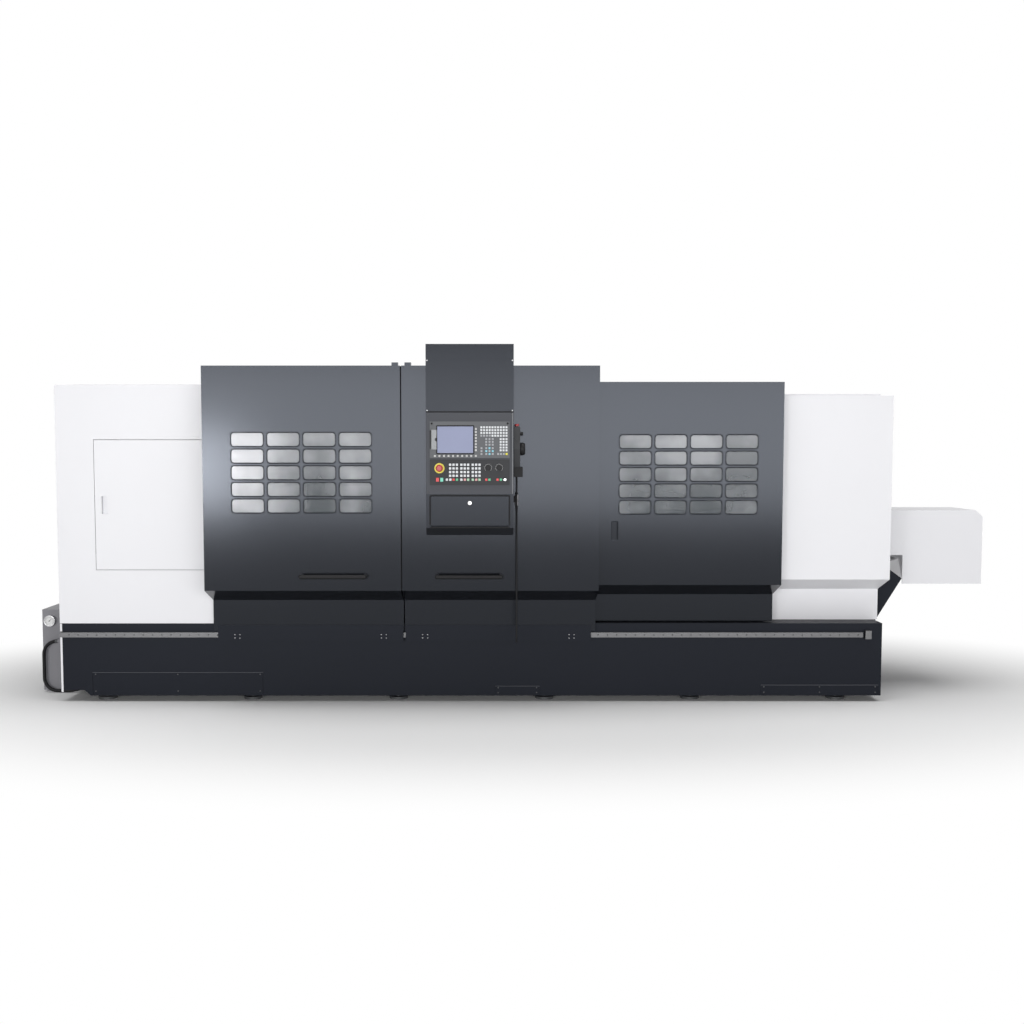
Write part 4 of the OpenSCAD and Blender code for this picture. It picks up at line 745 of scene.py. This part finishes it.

# Storage flap: a raised black ring round it, whose black is painted shade of the groove round the flap, and its lock
FLAP_SIDE = 30.0
FLAP_RISE = (54.0, 238.0)
FLAP_OUT = 7.0
flap_size = (box_high[0] - box_low[0] - 2 * FLAP_SIDE, FLAP_RISE[1] - FLAP_RISE[0])
flap_middle = ((box_low[0] + box_high[0]) / 2, box_front, box_low[2] + sum(FLAP_RISE) / 2)
GROOVE_SHADE_RING = [(1.0, 0.1), (1.0, 1.6), (2.5, 2.6), (8.5, 2.6), (10.0, 1.6), (10.0, 0.1)]
front_pieces("flap_groove_painted_shade", bead_ring(*flap_size, 3.0, GROOVE_SHADE_RING), [flap_middle], "right_door", black_rubber)
LOCK_DROP = 40.0
lock_at = (flap_middle[0], box_front - FLAP_OUT, box_low[2] + FLAP_RISE[1] - LOCK_DROP)
LOCK_WASHER = [(17.0, 0.05), (17.0, 1.0), (16.0, 1.8), (12.6, 1.8), (12.6, 0.05)]
LOCK_FACE = [(12.4, 0.1), (12.4, 4.6), (11.4, 5.6), (4.2, 6.0), (3.8, 5.0), (0.5, 5.0)]
front_pieces("lock_washer", turned(LOCK_WASHER, 32, ring=True), [lock_at], "storage_flap", dark_plastic)
front_pieces("lock_face", turned(LOCK_FACE, 32), [lock_at], "storage_flap", bright_steel)

# Lips of the base covers, in a lighter grey than the base as a painted highlight along their top edges, and edges of
# the plate and of the interface flap
COVER_LIPS = [(204.0, 1312.0, 195.0), (2818.0, 3108.0, 105.0), (base_high[0] - 780, base_high[0] - 17, 112.0)]
for number, (start, end, top) in enumerate(COVER_LIPS):
    front_strip(f"base_cover_painted_highlight_{number}", (start, end), (top - 5, top - 0.3), base_low[1], 2.2, "frame",
                plate_grey)
edge_grey = finish("edge_grey", (0.2, 0.205, 0.215), 0.45, 0.1, 8.0, 800.0, 0.15, specular=0.3)
front_pieces("plate_edge", cushion_pad(5, plate_high[2] - plate_low[2] - 4, radius=1.5, rise=0.8, dome=0.3),
             [(plate_high[0] - 3, plate_low[1], plate_middle[2])], "right_door", edge_grey)
front_pieces("card_hinge_cover", cushion_pad(6, 112, radius=2.0, rise=3.0, dome=0.4),
             [unit_at("display_unit", 3.6, 109, 0.0)], "right_door", dark_plastic)

# Frame round the display: a bead with a sloped inner side
SCREEN_BEAD = [(-3.0, -3.0), (-1.0, 0.2), (0.5, 1.2), (4.5, 1.2), (6.0, 0.1), (1.0, 0.05), (-0.05, -0.2), (-0.05, -3.0)]
screen_low, screen_high = span("display_screen")
screen_size = screen_high - screen_low
screen_middle = (screen_low + screen_high) / 2
front_pieces("screen_frame", bead_ring(screen_size[0], screen_size[2], 2.0, SCREEN_BEAD),
             [(screen_middle[0], UNIT_FACE["display_unit"], screen_middle[2])], "right_door",
             dark_plastic)

# Pressure gauge: dial, scale, lens rim and needle
GAUGE_LIP = 5.0
gauge_low, gauge_high = span("pressure_gauge")
gauge_middle = (gauge_low + gauge_high) / 2
GAUGE = np.array([gauge_middle[0], gauge_low[1] + GAUGE_LIP, gauge_middle[2]])
DIAL = [(31.8, 0.05), (31.5, 0.6), (20.0, 0.62), (0.01, 0.64)]
RIM = [(36.9, 2.0), (36.9, 4.6), (35.5, 5.6), (33.0, 5.6), (31.9, 4.8), (31.9, 0.8)]
BOSS = [(3.2, 0.7), (3.2, 2.2), (2.0, 2.8), (0.01, 2.9)]
NEEDLE = [(-1.1, -8), (1.1, -8), (0.35, 24), (-0.35, 24)]
NEEDLE_LEVELS = (1.2, 1.7)
NEEDLE_TURN = np.radians(-50)


def gauge_needle():
    """A flat pointer: a wedge with a tail, turned to a third of the scale, with a small boss."""
    cos, sin = np.cos(NEEDLE_TURN), np.sin(NEEDLE_TURN)
    flat = np.array(NEEDLE) @ np.array([[cos, -sin], [sin, cos]]).T
    points = np.concatenate([np.column_stack([flat, np.full(4, level)]) for level in NEEDLE_LEVELS])
    boss, boss_faces = turned(BOSS, 16)
    faces = BAR_FACES.tolist() + [[i + len(points) for i in face] for face in boss_faces]
    return np.concatenate([points, boss]), faces


front_pieces("gauge_dial", turned(DIAL, 40), [GAUGE], "frame", dial_white)
front_pieces("gauge_scale", tick_marks(23.0, 5.5, 0.9, -130, 130, 27), [GAUGE - (0, 0.65, 0)], "frame",
             dark_plastic)
front_pieces("gauge_rim", turned(RIM, 40, ring=True), [GAUGE], "frame", plate_steel, smooth=True)
front_pieces("gauge_needle", gauge_needle(), [GAUGE], "frame", dark_plastic)


# Sleeves at the ends of the cords and on the hand wheel
def sleeve(name, start, heading, profile, body, material):
    """A profile of (radius, along) points turned round an axis that leaves start with a heading."""
    points, faces = turned(profile, 24, ring=True)
    heading = np.asarray(heading, float)
    side = np.roll(heading, 1)
    other = np.cross(heading, side)
    solid = np.asarray(start, float) + points[:, :1] * side + points[:, 1:2] * other + points[:, 2:] * heading
    piece = mesh_piece(name, place_all(solid), faces, body, smooth=True)
    return paint(piece, material)


FERRULE = [(11.1, 0.0), (12.6, 0.0), (13.2, 1.0), (13.2, 7.0), (12.4, 8.0), (12.4, 10.0), (13.2, 11.0), (13.2, 16.0),
           (12.2, 17.0), (11.1, 17.0)]
RELIEF = [(8.8, -0.5), (8.8, 2.0), (8.2, 4.0), (7.2, 12.0), (7.6, 13.5), (6.6, 20.0), (7.0, 21.5), (6.0, 28.0),
          (6.3, 29.5), (5.2, 38.0), (4.5, 39.0)]
SOCKET = [(9.1, 0.0), (10.5, 0.0), (11.2, 1.5), (11.2, 22.0), (10.0, 24.0), (10.0, 30.0), (11.8, 32.0), (11.8, 66.0),
          (10.8, 68.0), (9.1, 68.0)]
WHEEL_GRIP = [(28.2, 2.0), (35.0, 2.0), (38.0, 4.0), (39.0, 12.0), (38.0, 20.0), (35.0, 27.0), (30.0, 31.0),
              (26.0, 31.0), (24.4, 28.0), (24.2, 15.3), (28.2, 15.3)]
SOCKET_AT = (CABLE_X, *CABLE_DROP[-1])
wheel_low, wheel_high = span("pendant_wheel")
wheel_middle = (wheel_low + wheel_high) / 2
wheel_at = (span("pendant_body")[1][0], wheel_middle[1], wheel_middle[2])
for name, (x, z) in (("hose_ferrule", HOSE_RUN[0]), ("hose_end_ferrule", HOSE_RUN[-1])):
    sleeve(name, (x, HOSE_Y, z), (-1, 0, 0), FERRULE, "frame", dark_steel)
sleeve("cable_relief", SOCKET_AT, (0, 0, -1), RELIEF, "right_door", black_rubber)
sleeve("socket_shell", np.add(SOCKET_AT, (0, 0, 0.5)), (0, 0, 1), SOCKET, "right_door", bright_steel)
sleeve("wheel_grip", wheel_at, (1, 0, 0), WHEEL_GRIP, "pendant_wheel", dark_plastic)

# Back of the electrical cabinet: louvres in its door and a swing handle
CABINET_BACK = 1834.02
LOUVRE_GRID = (25, 9)
LOUVRE_OUT = 14.0
LOUVRE_RISE = 26.0
LOUVRE_PITCH = 44.0
HANDLE_AT = (1440.0, 1000.0)
HANDLE_HALF = (16.0, 75.0)
HANDLE_ROWS = [(1.0, 0.0), (1.0, 4.0), (0.82, 8.0), (0.7, 13.0), (0.5, 15.5), (0.02, 15.8)]


def back_louvres(name, x0, x1, lowest, count):
    """Slanted blades: each swells out of the door in a half sine and closes at its ends."""
    columns, rows = LOUVRE_GRID
    u, v = np.meshgrid(np.linspace(0, 1, columns), np.linspace(0, 1, rows), indexing="ij")
    edge = np.minimum(1.0, np.minimum(u, 1 - u) * 12) ** 0.5
    out = LOUVRE_OUT * edge * np.sin(np.pi * v) ** 0.8 * (1.0 - 0.55 * v)
    points = np.stack([x0 + u * (x1 - x0), CABINET_BACK + out, LOUVRE_RISE * v], axis=-1)
    index = np.arange(columns * rows).reshape(columns, rows)
    rim = [*index[0], *index[1:-1, -1], *index[-1, ::-1], *index[-2:0:-1, 0]]
    shifts = [(0.0, 0.0, lowest + LOUVRE_PITCH * k) for k in range(count)]
    every, lists = repeat_mesh(points, grid_faces(columns, rows).tolist() + [rim[::-1]], shifts)
    piece = mesh_piece(name, place_all(every), lists, "electrical_door", smooth=True)
    return paint(piece, cover_white)


def swing_handle():
    """A lever that swells from a flat plate: an oval outline carried out along Y in a smooth hump."""
    turn = np.linspace(0, 2 * np.pi, 28, endpoint=False)
    oval = np.column_stack([HANDLE_HALF[0] * np.cos(turn), np.zeros(len(turn)), HANDLE_HALF[1] * np.sin(turn)])
    foot = np.array([HANDLE_AT[0], CABINET_BACK, HANDLE_AT[1]])
    points = np.stack([foot + scale * oval + (0, out, 0) for scale, out in HANDLE_ROWS])
    faces = [face[::-1] for face in capped_faces(len(HANDLE_ROWS), len(turn))]
    piece = mesh_piece("electrical_handle", place_all(points), faces, "electrical_door", smooth=True)
    return paint(piece, dark_plastic)


back_louvres("electrical_louvres", 300.0, 620.0, 260.0, 8)
back_louvres("electrical_upper_louvres", 980.0, 1300.0, 1480.0, 7)
swing_handle()


# Stage and light
FLOOR_HALF = 80.0
FLOOR_SQUEEZE = (0.2, 0.36, 0.0)
FLOOR_FADE = (0.55, 1.05)
SKY_LEVEL = 0.14
LAMPS = (
    ("front_wash", (0.0, -13.0, 1.95), (0.0, 0.0, 1.95), 16.0, 2.9, 960.0),
    ("left_sheen", (-5.3, -13.0, 1.3), (-1.5, 0.0, 1.3), 1.6, 1.3, 140.0),
    ("top_wash", (0.0, -2.0, 9.0), (0.0, 0.0, 0.5), 12.0, 6.0, 600.0),
)


def add_floor():
    """A wide pale floor: lit near the machine, where its shadow falls, and plain white far from it."""
    corners = [(x * FLOOR_HALF, y * FLOOR_HALF, 0) for x, y in ((-1, -1), (1, -1), (1, 1), (-1, 1))]
    data = bpy.data.meshes.new("floor")
    data.from_pydata(corners, [], [(0, 1, 2, 3)])
    floor = bpy.data.objects.new("floor", data)
    scene.collection.objects.link(floor)
    material = finish("floor_white", (0.92, 0.92, 0.92), 0.9, 0.01, 0.5, 50.0, 0.0, specular=0.1)
    tree = material.node_tree
    coords = tree.nodes.new("ShaderNodeTexCoord")
    squeeze = tree.nodes.new("ShaderNodeMapping")
    squeeze.inputs["Scale"].default_value = FLOOR_SQUEEZE
    length = tree.nodes.new("ShaderNodeVectorMath")
    length.operation = "LENGTH"
    reach = tree.nodes.new("ShaderNodeMapRange")
    reach.interpolation_type = "SMOOTHSTEP"
    reach.inputs["From Min"].default_value = FLOOR_FADE[0]
    reach.inputs["From Max"].default_value = FLOOR_FADE[1]
    tree.links.new(coords.outputs["Object"], squeeze.inputs["Vector"])
    tree.links.new(squeeze.outputs["Vector"], length.inputs[0])
    tree.links.new(length.outputs["Value"], reach.inputs["Value"])
    seen = seen_directly(tree)
    both = tree.nodes.new("ShaderNodeMath")
    both.operation = "MULTIPLY"
    tree.links.new(seen, both.inputs[0])
    tree.links.new(reach.outputs["Result"], both.inputs[1])
    white = tree.nodes.new("ShaderNodeEmission")
    mix = tree.nodes.new("ShaderNodeMixShader")
    tree.links.new(both.outputs[0], mix.inputs["Fac"])
    tree.links.new(tree.nodes["Principled BSDF"].outputs["BSDF"], mix.inputs[1])
    tree.links.new(white.outputs["Emission"], mix.inputs[2])
    tree.links.new(mix.outputs["Shader"], tree.nodes["Material Output"].inputs["Surface"])
    paint(floor, material)


def seen_directly(tree):
    """One where the camera, gloss or glass looks at a surface, and nought for the light it gives."""
    path = tree.nodes.new("ShaderNodeLightPath")
    seen = path.outputs["Is Camera Ray"]
    for label in ("Is Glossy Ray", "Is Transmission Ray"):
        add = tree.nodes.new("ShaderNodeMath")
        add.operation = "MAXIMUM"
        tree.links.new(seen, add.inputs[0])
        tree.links.new(path.outputs[label], add.inputs[1])
        seen = add.outputs[0]
    return seen


def add_world(strength):
    """An even sky, and plain white where the camera, gloss or glass sees it."""
    world = bpy.data.worlds.new("studio")
    world.use_nodes = True
    tree = world.node_tree
    background = tree.nodes["Background"]
    seen = seen_directly(tree)
    level = tree.nodes.new("ShaderNodeMapRange")
    level.inputs["To Min"].default_value = strength
    level.inputs["To Max"].default_value = 1.0
    tree.links.new(seen, level.inputs["Value"])
    background.inputs["Color"].default_value = (1, 1, 1, 1)
    tree.links.new(level.outputs["Result"], background.inputs["Strength"])
    scene.world = world


def add_area(name, centre, target, width, height, power):
    """A soft rectangular lamp at a point in metres that faces another point."""
    data = bpy.data.lights.new(name, "AREA")
    data.shape = "RECTANGLE"
    data.size = width
    data.size_y = height
    data.energy = power
    lamp = bpy.data.objects.new(name, data)
    lamp.location = centre
    toward = np.asarray(target, float) - np.asarray(centre, float)
    yaw = math.atan2(-toward[0], toward[1])
    tilt = math.atan2(math.hypot(toward[0], toward[1]), -toward[2])
    lamp.rotation_euler = (tilt, 0, yaw)
    scene.collection.objects.link(lamp)


add_floor()
add_world(SKY_LEVEL)
for lamp in LAMPS:
    add_area(*lamp)
scene.view_settings.view_transform = "Standard"
